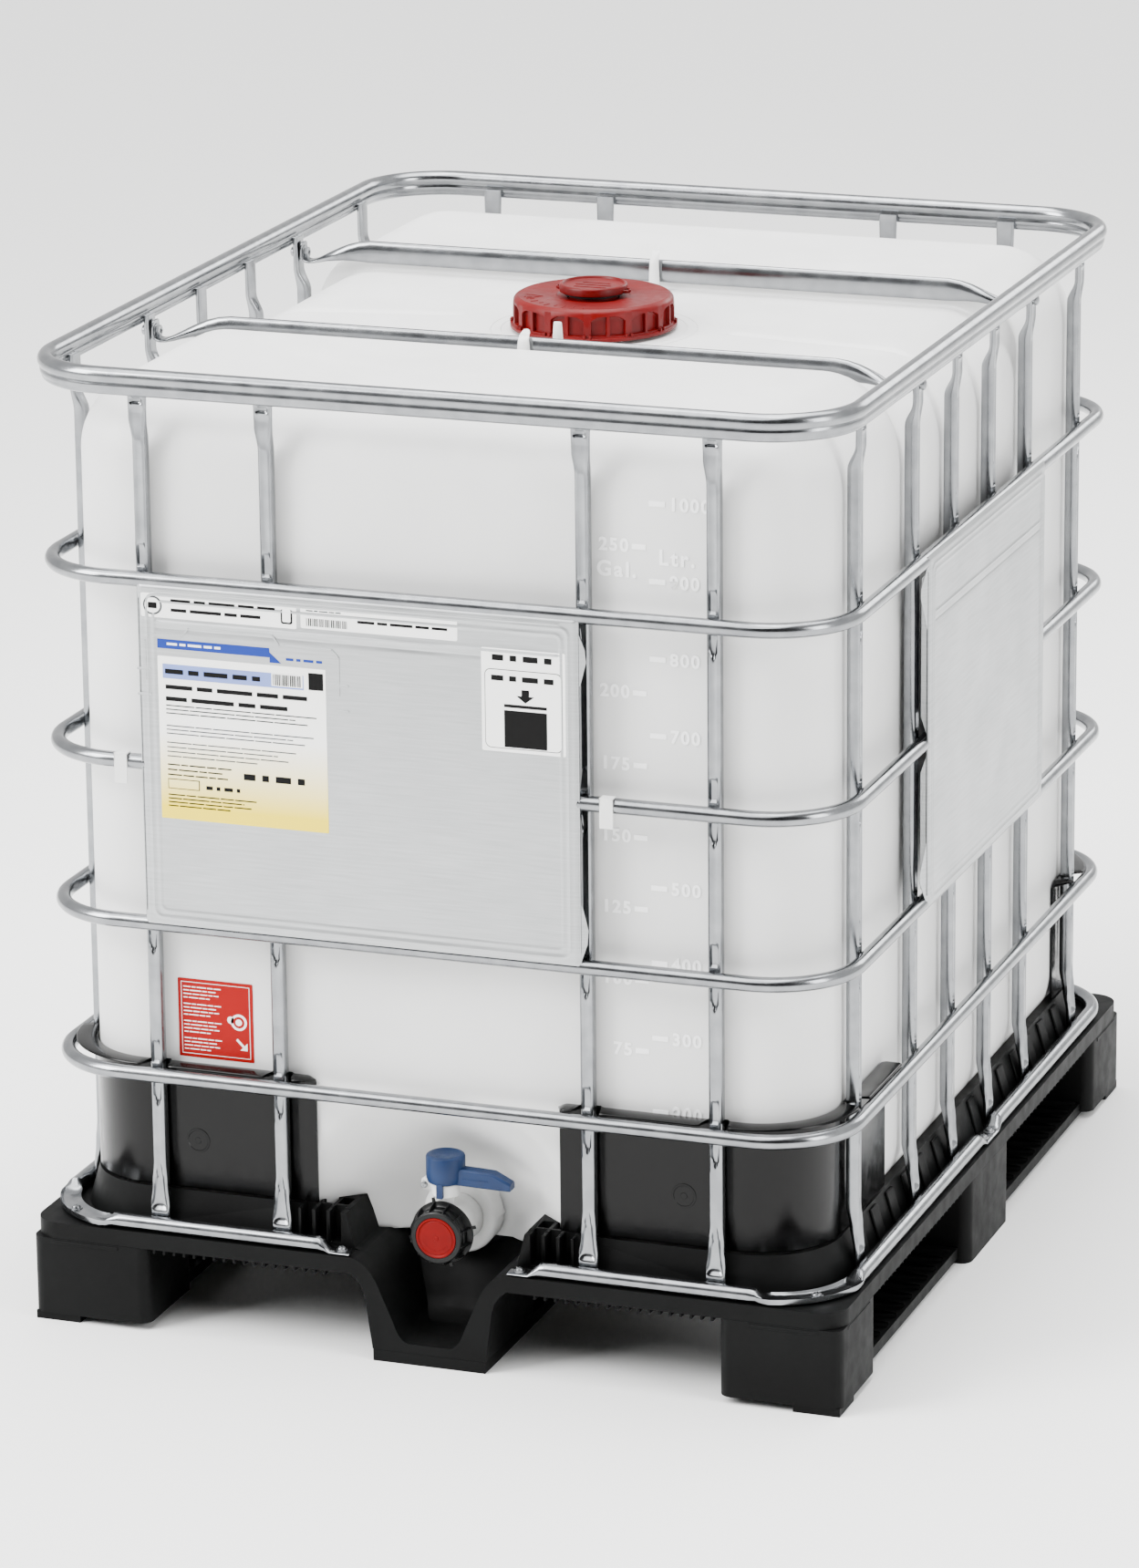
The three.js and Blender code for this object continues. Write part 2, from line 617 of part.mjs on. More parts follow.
// The curb that holds the bottle's foot, sloping in from the rim to its top edge
function curb() {
  const rise = CURB_TOP - DECK_RIM;
  const inset = CURB_BASE_HALF_X - BOTTLE_HALF_X - CURB_TOP_CLEARANCE;
  const halfX = CURB_BASE_HALF_X - inset;
  const halfY = CURB_BASE_HALF_Y - inset;
  const geometry = new THREE.ExtrudeGeometry(roundedOutline(halfX, halfY, BOTTLE_ROUNDING), {
    depth: 1, bevelSize: inset, bevelThickness: rise, bevelSegments: 1, curveSegments: 5,
  });
  const flared = solid(geometry.rotateX(Math.PI).translate(0, 0, CURB_TOP - rise + 1));
  const flare = flared.subtract(block(-WIDTH, WIDTH, -DEPTH, DEPTH, -300, DECK_RIM - 1));
  const shoulders = [-1, 1].map((side) => {
    const x0 = Math.min(side * SHOULDER_NEAR_X, side * SHOULDER_FAR_X);
    const x1 = x0 + SHOULDER_FAR_X - SHOULDER_NEAR_X;
    return block(x0, x1, -CURB_BASE_HALF_Y - 0.5, SHOULDER_BACK_Y, DECK_FLOOR - 4, CURB_TOP);
  });
  return { flare, shoulders };
}

// Hollows in the deck's underside between the rows of feet
function undersidePockets() {
  const pockets = [];
  for (const side of [-1, 1]) {
    const centreX = side * 230;
    const outerX = side * 425;
    pockets.push(block(centreX - 110, centreX + 110, -560, 560, DECK_BOTTOM - 1, POCKET_TOP));
    pockets.push(block(outerX - 58, outerX + 58, -440, -105, DECK_BOTTOM - 1, POCKET_TOP));
    pockets.push(block(outerX - 58, outerX + 58, 105, 440, DECK_BOTTOM - 1, POCKET_TOP));
  }
  return pockets;
}

function palletDeck() {
  const { flare, shoulders } = curb();
  const clear = CURB_TOP_CLEARANCE - 0.2;
  const basinWall = roundedSlab(
    BOTTLE_HALF_X + clear, BOTTLE_HALF_Y + clear, BOTTLE_ROUNDING + 3, DECK_FLOOR - 2, CURB_TOP,
  );
  const plate = roundedSlab(WIDTH / 2, DEPTH / 2, 32, DECK_BOTTOM, DECK_RIM);
  return join([plate, flare, basinWall, troughWalls(), ...shoulders])
    .subtract(bottleBody(-0.4))
    .subtract(troughSpace())
    .subtract(outletRound(-600, -450, 52, 24))
    .subtract(join(undersidePockets()));
}
addPiece('pallet_deck', palletDeck(), palletPlastic);

function foot(x0, x1, y0, y1, bottom) {
  const radius = 14;
  const outline = roundedOutline((x1 - x0) / 2, (y1 - y0) / 2, radius);
  const geometry = new THREE.ExtrudeGeometry(outline, {
    depth: FOOT_TOP - bottom, bevelEnabled: false, curveSegments: 3,
  });
  return solid(geometry.translate((x0 + x1) / 2, (y0 + y1) / 2, bottom));
}

// One outer skid: two stepped corner feet and a middle foot on a thin runner
function outerSkid(side) {
  const [x0, x1] = side > 0 ? [FOOT_INNER_X, WIDTH / 2] : [-WIDTH / 2, -FOOT_INNER_X];
  const [pad0, pad1] = side > 0 ? [PAD_INNER_X, WIDTH / 2] : [-WIDTH / 2, -PAD_INNER_X];
  const [run0, run1] = side > 0 ? [365, 485] : [-485, -365];
  const parts = [block(run0, run1, 10 - DEPTH / 2, DEPTH / 2 - 10, RUNNER_BOTTOM, RUNNER_TOP)];
  for (const end of [-1, 1]) {
    const [y0, y1] = end > 0 ? [FOOT_INNER_Y, DEPTH / 2] : [-DEPTH / 2, -FOOT_INNER_Y];
    const [p0, p1] = end > 0 ? [PAD_INNER_Y, DEPTH / 2] : [-DEPTH / 2, -PAD_INNER_Y];
    const corner = foot(x0, x1, y0, y1, FOOT_STEP);
    parts.push(corner.add(block(pad0 + 2, pad1 - 2, p0 + 2, p1 - 2, 0, FOOT_STEP + 1)));
  }
  parts.push(foot(x0, x1, -MID_FOOT_HALF, MID_FOOT_HALF, 0));
  return join(parts);
}
addPiece('skid_left', outerSkid(-1), palletPlastic);
addPiece('skid_right', outerSkid(1), palletPlastic);

function centreSkid() {
  const half = CENTRE_SKID_HALF;
  return join([
    block(-half, half, -DEPTH / 2, DEPTH / 2, 0, TROUGH_LINER_BOTTOM - GAP),
    foot(-half, half, -MID_FOOT_HALF, MID_FOOT_HALF, 4),
    foot(-half, half, FOOT_INNER_Y, DEPTH / 2, 4),
  ]);
}
addPiece('skid_centre', centreSkid(), palletPlastic);

// ---- Corner guards ----
function cornerGuard(sideX, sideY) {
  const inner = GUARD_INNER_OFFSET;
  const outer = inner + GUARD_THICKNESS;
  const wall = roundedSlab(
    BOTTLE_HALF_X + outer, BOTTLE_HALF_Y + outer, BOTTLE_ROUNDING + outer, GUARD_BOTTOM, GUARD_TOP,
  );
  const lip = roundedSlab(
    BOTTLE_HALF_X + GUARD_LIP_REACH, BOTTLE_HALF_Y + GUARD_LIP_REACH, BOTTLE_ROUNDING + GUARD_LIP_REACH,
    GUARD_LIP_BOTTOM, GUARD_TOP,
  );
  const hollow = roundedSlab(
    BOTTLE_HALF_X + inner, BOTTLE_HALF_Y + inner, BOTTLE_ROUNDING + inner, GUARD_BOTTOM - 1, GUARD_TOP + 1,
  );
  const cornerX = sideX > 0 ? [GUARD_FRONT_X, WIDTH / 2] : [-WIDTH / 2, -GUARD_FRONT_X];
  const cornerY = sideY > 0 ? [GUARD_EDGE_REAR_Y, DEPTH / 2] : [-DEPTH / 2, -GUARD_EDGE_FRONT_Y];
  const corner = block(...cornerX, ...cornerY, GUARD_BOTTOM - 1, GUARD_TOP + 1);
  let guard = wall.add(lip).subtract(hollow).intersect(corner);
  const outside = { x: BOTTLE_HALF_X + outer, y: BOTTLE_HALF_Y + outer };
  for (const x of FRONT_UPRIGHTS) {
    const y = sideY > 0 ? [outside.y, DEPTH / 2] : [-DEPTH / 2, -outside.y];
    guard = guard.subtract(block(x - 11, x + 11, ...y, GUARD_LIP_BOTTOM - 3, GUARD_TOP + 1));
  }
  for (const y of SIDE_UPRIGHTS) {
    const x = sideX > 0 ? [outside.x, WIDTH / 2] : [-WIDTH / 2, -outside.x];
    guard = guard.subtract(block(...x, y - 11, y + 11, GUARD_LIP_BOTTOM - 3, GUARD_TOP + 1));
  }
  return guard;
}
addPiece('guard_front_left', cornerGuard(-1, -1), guardPlastic);
addPiece('guard_front_right', cornerGuard(1, -1), guardPlastic);
addPiece('guard_rear_left', cornerGuard(-1, 1), guardPlastic);
addPiece('guard_rear_right', cornerGuard(1, 1), guardPlastic);

// ---- Cage rings ----
function topRing() {
  const tube = solid(closedRing(HEIGHT - TOP_TUBE_RADIUS, TOP_TUBE_RADIUS));
  return tube.add(solid(closedRing(TOP_BEAD_HEIGHT, TOP_BEAD_RADIUS)));
}
addPiece('top_ring', topRing(), cageSteel);
for (const [name, z] of Object.entries(RING_HEIGHTS)) {
  addPiece(name, closedRing(z, RING_RADIUS), cageSteel);
}

// The base tube lies on the pallet rim in three lengths, with pressed flat ends
function baseTube(path) {
  const points = path.getPoints(CORNER_STEPS);
  return tubeSkin(levelSections(points, BASE_HEIGHT, RING_RADIUS, false, true));
}

function frontBasePath(side) {
  const straightX = BASE_HALF_X - RING_CORNER;
  const straightY = BASE_HALF_Y - RING_CORNER;
  const path = new THREE.Path();
  path.moveTo(side * BASE_FRONT_END, -BASE_HALF_Y);
  path.lineTo(side * (BASE_FRONT_END + 26), -BASE_HALF_Y);
  path.lineTo(side * (BASE_FRONT_END + 38), -BASE_HALF_Y);
  const [start, end] = side > 0 ? [1.5 * Math.PI, 2 * Math.PI] : [1.5 * Math.PI, Math.PI];
  path.absarc(side * straightX, -straightY, RING_CORNER, start, end, side < 0);
  path.lineTo(side * BASE_HALF_X, BASE_SIDE_JOINT - 38);
  path.lineTo(side * BASE_HALF_X, BASE_SIDE_JOINT - 26);
  path.lineTo(side * BASE_HALF_X, BASE_SIDE_JOINT);
  return path;
}
addPiece('base_tube_left', baseTube(frontBasePath(-1)), cageSteel);
addPiece('base_tube_right', baseTube(frontBasePath(1)), cageSteel);

function rearBasePath() {
  const straightX = BASE_HALF_X - RING_CORNER;
  const straightY = BASE_HALF_Y - RING_CORNER;
  const start = BASE_SIDE_JOINT + 1;
  const path = new THREE.Path();
  path.moveTo(BASE_HALF_X, start);
  path.lineTo(BASE_HALF_X, start + 26);
  path.lineTo(BASE_HALF_X, start + 38);
  path.absarc(straightX, straightY, RING_CORNER, 0, Math.PI / 2);
  path.absarc(-straightX, straightY, RING_CORNER, Math.PI / 2, Math.PI);
  path.lineTo(-BASE_HALF_X, start + 38);
  path.lineTo(-BASE_HALF_X, start + 26);
  path.lineTo(-BASE_HALF_X, start);
  return path;
}
addPiece('base_tube_rear', baseTube(rearBasePath()), cageSteel);

// ---- Uprights ----
// Each row: height, width along the ring, thickness, and how far it stands out from the straight tube
const UPRIGHT_ROWS = [
  [UPRIGHT_FOOT_HEIGHT, 24, 6, 7.4],
  [150, 25, 7, 6.9],
  [178, 20, 12, 3.5],
  [212, 16, 16, 0],
  [1080, 16, 16, 0],
  [1102, 22, 7.5, 6.8],
  [UPRIGHT_TOP_HEIGHT, 23, 7, 7],
];
const UPRIGHT_HALF_X = RING_HALF_X - RING_RADIUS - GAP - UPRIGHT_RADIUS;
const UPRIGHT_HALF_Y = RING_HALF_Y - RING_RADIUS - GAP - UPRIGHT_RADIUS;

function upright(foot, outward) {
  const along = new THREE.Vector3().crossVectors(UP, outward);
  return tubeSkin(UPRIGHT_ROWS.map(([z, width, thickness, outset]) => {
    const centre = foot.clone().addScaledVector(outward, outset).setZ(z);
    return ovalSection(centre, outward, along, thickness, width);
  }));
}

function boltHole(x, y) {
  return crosswiseRound(x - 20, x + 20, y, BAR_BOLT_Z, BOLT_RADIUS + GAP, 12);
}

FRONT_UPRIGHTS.forEach((x, place) => {
  const front = new THREE.Vector3(x, -UPRIGHT_HALF_Y, 0);
  const rear = new THREE.Vector3(x, UPRIGHT_HALF_Y, 0);
  addPiece(`upright_front_${place + 1}`, upright(front, new THREE.Vector3(0, -1, 0)), cageSteel);
  addPiece(`upright_rear_${place + 1}`, upright(rear, new THREE.Vector3(0, 1, 0)), cageSteel);
});

for (const [name, side] of [['left', -1], ['right', 1]]) {
  SIDE_UPRIGHTS.forEach((y, place) => {
    const base = new THREE.Vector3(side * UPRIGHT_HALF_X, y, 0);
    let shape = solid(upright(base, new THREE.Vector3(side, 0, 0)));
    if (Math.abs(y) === BAR_BOLT_Y) {
      shape = shape.subtract(boltHole(side * UPRIGHT_HALF_X, y));
    }
    addPiece(`upright_${name}_${place + 1}`, shape, cageSteel);
  });
}

// ---- Cross bars and their bolts ----
function barTab(sideX, sideY) {
  const x = sideX * (BAR_TAB_X + BAR_TAB_THICKNESS / 2);
  const y = sideY * BAR_BOLT_Y;
  return blockAt(x, y, BAR_BOLT_Z, BAR_TAB_THICKNESS / 2, BAR_TAB_HALF_Y, BAR_TAB_HALF_Z);
}

// The pressed stretch between the oval bar and its tab: a tapering neck, then a flat foot under the nut
function barNeck(sideX, sideY) {
  const points = [];
  for (const high of [-1, 1]) {
    for (const across of [-1, 1]) {
      const barY = sideY * BAR_Y + across * (BAR_DEPTH / 2 - 1);
      const barZ = BAR_Z + high * (BAR_HEIGHT / 2 - 3);
      points.push(new THREE.Vector3(sideX * (BAR_STRAIGHT_HALF - 1), barY, barZ));
      const footY = sideY * BAR_BOLT_Y + across * BAR_FOOT_HALF_Y;
      points.push(new THREE.Vector3(sideX * BAR_FOOT_X, footY, BAR_FOOT_Z + high * BAR_FOOT_HALF_Z));
    }
  }
  const x = (sideX * (BAR_FOOT_X + BAR_TAB_X)) / 2;
  const halfLength = (BAR_TAB_X - BAR_FOOT_X) / 2 + 1;
  const foot = blockAt(x, sideY * BAR_BOLT_Y, BAR_FOOT_Z, halfLength, BAR_FOOT_HALF_Y, BAR_FOOT_HALF_Z);
  return solid(new ConvexGeometry(points)).add(foot);
}

function crossBar(sideY) {
  const centre = (x) => new THREE.Vector3(x, sideY * BAR_Y, BAR_Z);
  const across = new THREE.Vector3(0, 1, 0);
  const oval = tubeSkin([-BAR_STRAIGHT_HALF, BAR_STRAIGHT_HALF].map(
    (x) => ovalSection(centre(x), across, UP, BAR_DEPTH, BAR_HEIGHT, 12),
  ));
  const ends = [-1, 1].flatMap((sideX) => [barNeck(sideX, sideY), barTab(sideX, sideY)]);
  const holes = [-1, 1].map((sideX) => boltHole(sideX * BAR_TAB_X, sideY * BAR_BOLT_Y));
  return join([solid(oval), ...ends]).subtract(join(holes));
}
addPiece('cross_bar_front', crossBar(-1), cageSteel);
addPiece('cross_bar_rear', crossBar(1), cageSteel);

function barBolt(sideX, sideY) {
  const spans = [
    [BAR_TAB_X - 5.5, BAR_TAB_X - GAP, 7.5, 6],
    [BAR_TAB_X - 5, 484, BOLT_RADIUS, 12],
    [479.4, 484.4, 6.6, 12],
  ];
  return join(spans.map(([near, far, radius, sides]) => {
    const [x0, x1] = sideX > 0 ? [near, far] : [-far, -near];
    return crosswiseRound(x0, x1, sideY * BAR_BOLT_Y, BAR_BOLT_Z, radius, sides);
  }));
}
addPiece('bar_bolt_front_left', barBolt(-1, -1), boltSteel);
addPiece('bar_bolt_front_right', barBolt(1, -1), boltSteel);
addPiece('bar_bolt_rear_left', barBolt(-1, 1), boltSteel);
addPiece('bar_bolt_rear_right', barBolt(1, 1), boltSteel);

// ---- Label plates ----
// A flat sheet outside the rings with folded side flanges; depth runs inwards from the sheet's face
function labelPlate({ low, high, bottom, top }) {
  const sheet = { face: 0, back: PLATE_THICKNESS };
  const inset = PLATE_FLANGE_INSET;
  const parts = [
    block(low, high, sheet.face, sheet.back, bottom, top),
    block(low, low + PLATE_THICKNESS, sheet.face, PLATE_FLANGE, bottom + inset, top - inset),
    block(high - PLATE_THICKNESS, high, sheet.face, PLATE_FLANGE, bottom + inset, top - inset),
  ];
  const passage = RING_HEIGHTS.ring_3;
  const notch = RING_RADIUS + 1.5;
  const opening = block(low - 1, high + 1, sheet.back, PLATE_FLANGE + 1, passage - notch, passage + notch);
  return join(parts).subtract(opening);
}

function turnedPlate(plate, turn, x, y) {
  return geometryOf(plate).rotateZ(turn).translate(x, y, 0);
}
const FRONT_FACE = -(RING_HALF_Y + RING_RADIUS + 0.5 + PLATE_THICKNESS);
const SIDE_FACE = RING_HALF_X + RING_RADIUS + 0.5 + PLATE_THICKNESS;
addPiece('label_plate_front', turnedPlate(labelPlate(FRONT_PLATE), 0, 0, FRONT_FACE), sheetSteel);
addPiece('label_plate_side', turnedPlate(labelPlate(SIDE_PLATE), Math.PI / 2, SIDE_FACE, 0), sheetSteel);

export default container;
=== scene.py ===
"""Intermediate bulk container: a blow-moulded bottle in a welded tube cage on a plastic pallet."""
import math

import bmesh
import bpy
from mathutils import Matrix, Vector


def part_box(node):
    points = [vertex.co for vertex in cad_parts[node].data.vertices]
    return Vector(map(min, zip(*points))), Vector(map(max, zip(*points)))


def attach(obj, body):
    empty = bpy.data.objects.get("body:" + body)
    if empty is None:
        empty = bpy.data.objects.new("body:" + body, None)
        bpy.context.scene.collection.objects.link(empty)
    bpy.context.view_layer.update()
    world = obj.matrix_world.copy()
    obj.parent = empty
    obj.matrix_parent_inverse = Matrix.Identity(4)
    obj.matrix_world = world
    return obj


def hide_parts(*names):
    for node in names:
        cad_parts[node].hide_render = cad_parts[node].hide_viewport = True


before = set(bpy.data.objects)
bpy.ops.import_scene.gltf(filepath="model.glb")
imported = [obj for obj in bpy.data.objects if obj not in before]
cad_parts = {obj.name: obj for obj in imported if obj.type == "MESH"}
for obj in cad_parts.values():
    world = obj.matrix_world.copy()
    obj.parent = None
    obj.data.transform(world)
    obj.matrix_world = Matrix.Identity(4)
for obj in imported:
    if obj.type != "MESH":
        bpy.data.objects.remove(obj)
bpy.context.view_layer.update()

MM = 0.001
BODY = "container"
WELD_DISTANCE = 0.005  # points nearer than this are one point
SOFT_ANGLE = 32  # edges sharper than this are rounded by a bevel
AXIS = 0.01  # the radius at which a turned outline meets its axis


def box_mm(node):
    """A CAD node's lowest and highest corners, in millimetres."""
    low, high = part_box(node)
    return low / MM, high / MM


# ---- Sizes, in millimetres, read from the CAD nodes ----
bottle_low, bottle_high = box_mm("bottle")
ring_low, ring_high = box_mm("ring_3")
base_low, base_high = box_mm("base_tube_left")
cap_low, cap_high = box_mm("fill_cap")
plug_low, plug_high = box_mm("centre_plug")
spout_low = box_mm("valve_body")[0]
nut_low, nut_high = box_mm("union_nut")
dust_low, dust_high = box_mm("dust_cap")
disc_low, disc_high = box_mm("dust_cap_disc")
lever_high = box_mm("lever")[1]
screw_low, screw_high = box_mm("security_screw")
deck_low, deck_high = box_mm("pallet_deck")

RING_R = (ring_high.z - ring_low.z) / 2
RING_HALF_X = ring_high.x - RING_R
RING_HALF_Y = ring_high.y - RING_R
RING_CORNER = 100
RING_Z = [sum(box_mm(f"ring_{n}")[k].z for k in (0, 1)) / 2 for n in (2, 3, 4, 5)]
TOP_Z = box_mm("top_ring")[1].z
UPRIGHT_R = 8
WELD_GAP = 0.3
UPRIGHT_HALF_X = RING_HALF_X - RING_R - WELD_GAP - UPRIGHT_R
UPRIGHT_HALF_Y = RING_HALF_Y - RING_R - WELD_GAP - UPRIGHT_R
BASE_R = 9
BASE_Z = base_low.z + BASE_R
BASE_HALF_X = -base_low.x - BASE_R
BASE_HALF_Y = -base_low.y - BASE_R
HALF_X = bottle_high.x
HALF_Y = -bottle_low.y
BOTTLE_Z0 = bottle_low.z
BOTTLE_Z1 = 1131
ROUNDING = 90
SADDLE_FLOOR = 1104
SADDLE_HALF = 236
OUTLET_Z = (disc_low.z + disc_high.z) / 2
RECESS_FLOOR_Y = -462
RECESS_FLOOR_R = 60
RECESS_RIM_R = 175


# ---- Shapes ----
def smooth(t):
    """0 to 1 with a soft start and end."""
    t = min(max(t, 0.0), 1.0)
    return t * t * (3 - 2 * t)


def between(rows, at):
    """Values interpolated softly between rows that start with their place."""
    if at <= rows[0][0]:
        return rows[0][1:]
    for low, high in zip(rows, rows[1:]):
        if at <= high[0]:
            t = smooth((at - low[0]) / (high[0] - low[0]))
            return [a + (b - a) * t for a, b in zip(low[1:], high[1:])]
    return rows[-1][1:]


def steps(start, end, spacing):
    """Evenly spaced numbers from start to end, about spacing apart."""
    count = max(1, math.ceil(abs(end - start) / spacing))
    return [start + (end - start) * i / count for i in range(count + 1)]


def mixed_steps(stretches):
    """Steps along several stretches, each [start, end, spacing], joined end to end."""
    places = [stretches[0][0]]
    for start, end, spacing in stretches:
        places += steps(start, end, spacing)[1:]
    return places


COIL_SIDES = 48


class Skin:
    """Points in millimetres and the faces between them, each with the number of its finish."""

    def __init__(self):
        self.points = []
        self.faces = []
        self.finishes = []

    def add(self, points, faces, finish=0):
        base = len(self.points)
        self.points.extend(tuple(point) for point in points)
        self.faces.extend(tuple(base + corner for corner in face) for face in faces)
        self.finishes.extend([finish] * len(faces))

    def loft(self, rows, around=True, closed=False, capped=False, finish=0):
        """Joins rows of points; around closes each row, closed joins the last row to the first."""
        width = len(rows[0])
        faces = []
        for row in range(len(rows) if closed else len(rows) - 1):
            here = row * width
            there = ((row + 1) % len(rows)) * width
            for column in range(width if around else width - 1):
                after = (column + 1) % width
                faces.append((here + column, here + after, there + after, there + column))
        if capped:
            faces.append(tuple(reversed(range(width))))
            faces.append(tuple(range((len(rows) - 1) * width, len(rows) * width)))
        self.add([point for row in rows for point in row], faces, finish)

    def push(self, outline, place, depth, finish=0):
        """An outline of (a, b) pairs pushed from 0 to depth; place(a, b, d) gives each point."""
        rows = [[place(a, b, d) for a, b in outline] for d in (0, depth)]
        self.loft(rows, capped=True, finish=finish)

    def block(self, x, y, z, finish=0):
        """A block between pairs of x, y and z."""
        corners = ((x[0], y[0]), (x[1], y[0]), (x[1], y[1]), (x[0], y[1]))
        self.push(corners, lambda a, b, d: (a, b, z[0] + d), z[1] - z[0], finish)

    def turn(self, outline, place, sides=64, closed=False, swell=None):
        """An outline of (radius, height) turned about an axis; place(r, angle, h) gives each point.

        swell(row, side), where it is given, is added to the radius.
        """
        rows = []
        for row, (r, h) in enumerate(outline):
            swells = [swell(row, side) if swell else 0 for side in range(sides)]
            rows.append([place(r + out, 2 * math.pi * side / sides, h) for side, out in enumerate(swells)])
        self.loft(rows, closed=closed, capped=not closed)

    def coil(self, place, radius, start, pitch, turns, section, height=lambda step: 1):
        """A thread: a section of (out, along) pairs wound round a radius, one pitch to a turn."""
        rows = []
        for step in range(turns * COIL_SIDES + 1):
            turn = 2 * math.pi * step / COIL_SIDES
            along = start + pitch * step / COIL_SIDES
            rows.append([place(radius + out * height(step), turn, along + rise) for out, rise in section])
        self.loft(rows, capped=True)


def mesh_of(name, skin):
    """A mesh, in metres, from a skin in millimetres."""
    mesh = bpy.data.meshes.new(name)
    mesh.from_pydata([(x * MM, y * MM, z * MM) for x, y, z in skin.points], [], skin.faces)
    return mesh


def link_object(name, data):
    made = bpy.data.objects.new(name, data)
    bpy.context.scene.collection.objects.link(made)
    return made


def make_piece(name, skin, materials, stands_for=(), body=BODY, bevel=0.0, crease=40, segments=2):
    """One object from a skin: welded, faces outward, shaded smooth up to its creases."""
    mesh = mesh_of(name, skin)
    mesh.polygons.foreach_set("material_index", skin.finishes)
    for material in materials:
        mesh.materials.append(material)
    work = bmesh.new()
    work.from_mesh(mesh)
    bmesh.ops.remove_doubles(work, verts=work.verts, dist=WELD_DISTANCE * MM)
    finish_piece(name, mesh, work, stands_for, body, bevel, crease, segments)


def finish_piece(name, mesh, work, stands_for, body, bevel, crease, segments=2, carve=None):
    """Puts the worked shape into the mesh, shades it, softens its edges and mounts it on its body."""
    bmesh.ops.recalc_face_normals(work, faces=work.faces)
    work.to_mesh(mesh)
    work.free()
    mesh.shade_smooth()
    mesh.set_sharp_from_angle(angle=math.radians(crease))
    piece = link_object(name, mesh)
    if carve:
        carve(piece)
    if bevel:
        soften(piece, bevel, segments)
    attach(piece, body)
    if stands_for:
        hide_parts(*stands_for)


def soften(piece, width, segments):
    """Rounds a piece's edges, as a mould or a press does."""
    bevel = piece.modifiers.new("edge radius", "BEVEL")
    bevel.width = width * MM
    bevel.segments = segments
    bevel.limit_method = "ANGLE"
    bevel.angle_limit = math.radians(SOFT_ANGLE)
    bevel.harden_normals = True


def rounded_rectangle(half_x, half_y, radius, straight=60, corner=14):
    """Points of (x, y, outward x, outward y) round a rectangle, from its right side anticlockwise."""
    path = []
    inner_x, inner_y = half_x - radius, half_y - radius
    corners = (
        (inner_x, inner_y, 0), (-inner_x, inner_y, 90), (-inner_x, -inner_y, 180), (inner_x, -inner_y, 270),
    )
    for place, (x, y, start) in enumerate(corners):
        for step in range(corner + 1):
            turn = math.radians(start + 90 * step / corner)
            nx, ny = math.cos(turn), math.sin(turn)
            path.append((x + radius * nx, y + radius * ny, nx, ny))
        next_x, next_y, _ = corners[(place + 1) % 4]
        for t in steps(0, 1, straight / math.hypot(next_x - x, next_y - y))[1:-1]:
            along_x, along_y = x + (next_x - x) * t, y + (next_y - y) * t
            path.append((along_x + radius * nx, along_y + radius * ny, nx, ny))
    return path


def upright_axis(x=0.0, y=0.0):
    """Places a turned point about an upright line; h is its Z."""
    return lambda r, turn, h: (x + r * math.cos(turn), y + r * math.sin(turn), h)


def outlet_axis(r, turn, h):
    """Places a turned point about the outlet's line; h is its Y."""
    return (r * math.cos(turn), h, OUTLET_Z + r * math.sin(turn))


# ---- Materials ----
def linear(colour):
    """An sRGB hex colour as linear red, green, blue and alpha."""
    parts = [int(colour[i:i + 2], 16) / 255 for i in (1, 3, 5)]
    return tuple(p / 12.92 if p <= 0.04045 else ((p + 0.055) / 1.055) ** 2.4 for p in parts) + (1.0,)


def add_node(tree, kind, inputs, **settings):
    """Adds a node with its settings; each input is a value or another node's output."""
    node = tree.nodes.new(kind)
    for setting, value in settings.items():
        setattr(node, setting, value)
    for socket, value in inputs.items():
        if isinstance(value, bpy.types.NodeSocket):
            tree.links.new(value, node.inputs[socket])
        else:
            node.inputs[socket].default_value = value
    return node


def start_material(name, colour, roughness, metallic=0.0, **more):
    """A material with its shader, its node tree and the object's own coordinates in metres."""
    material = bpy.data.materials.new(name)
    material.use_nodes = True
    tree = material.node_tree
    shader = tree.nodes["Principled BSDF"]
    shader.inputs["Base Color"].default_value = linear(colour)
    shader.inputs["Roughness"].default_value = roughness
    shader.inputs["Metallic"].default_value = metallic
    for socket, value in more.items():
        shader.inputs[socket.replace("_", " ")].default_value = value
    place = tree.nodes.new("ShaderNodeTexCoord").outputs["Object"]
    return material, tree, shader, place


def grain(tree, place, size_mm, detail=2.0, stretch=None):
    """A noise pattern whose lumps are about size_mm across, stretched where a process drew it out."""
    if stretch:
        place = add_node(tree, "ShaderNodeMapping", {"Vector": place, "Scale": stretch}).outputs[0]
    inputs = {"Vector": place, "Scale": 1 / (size_mm * MM), "Detail": detail}
    return add_node(tree, "ShaderNodeTexNoise", inputs).outputs["Fac"]


def spread(tree, value, low, high, start=0.3, end=0.7):
    """A pattern's middle range mapped to low and high."""
    inputs = {"Value": value, "From Min": start, "From Max": end, "To Min": low, "To Max": high}
    return add_node(tree, "ShaderNodeMapRange", inputs).outputs[0]


def blend_colours(tree, factor, first, second):
    """A colour between two, by a factor from 0 to 1."""
    inputs = {0: factor, 6: linear(first), 7: linear(second)}
    return add_node(tree, "ShaderNodeMix", inputs, data_type="RGBA").outputs[2]


def raise_surface(tree, shader, height, depth_mm):
    """Makes a pattern stand out of the surface by depth_mm."""
    inputs = {"Height": height, "Distance": depth_mm * MM, "Strength": 1.0}
    bump = add_node(tree, "ShaderNodeBump", inputs)
    tree.links.new(bump.outputs[0], shader.inputs["Normal"])


def vary(tree, shader, socket, value):
    """Lets a pattern set one of the shader's inputs."""
    tree.links.new(value, shader.inputs[socket])


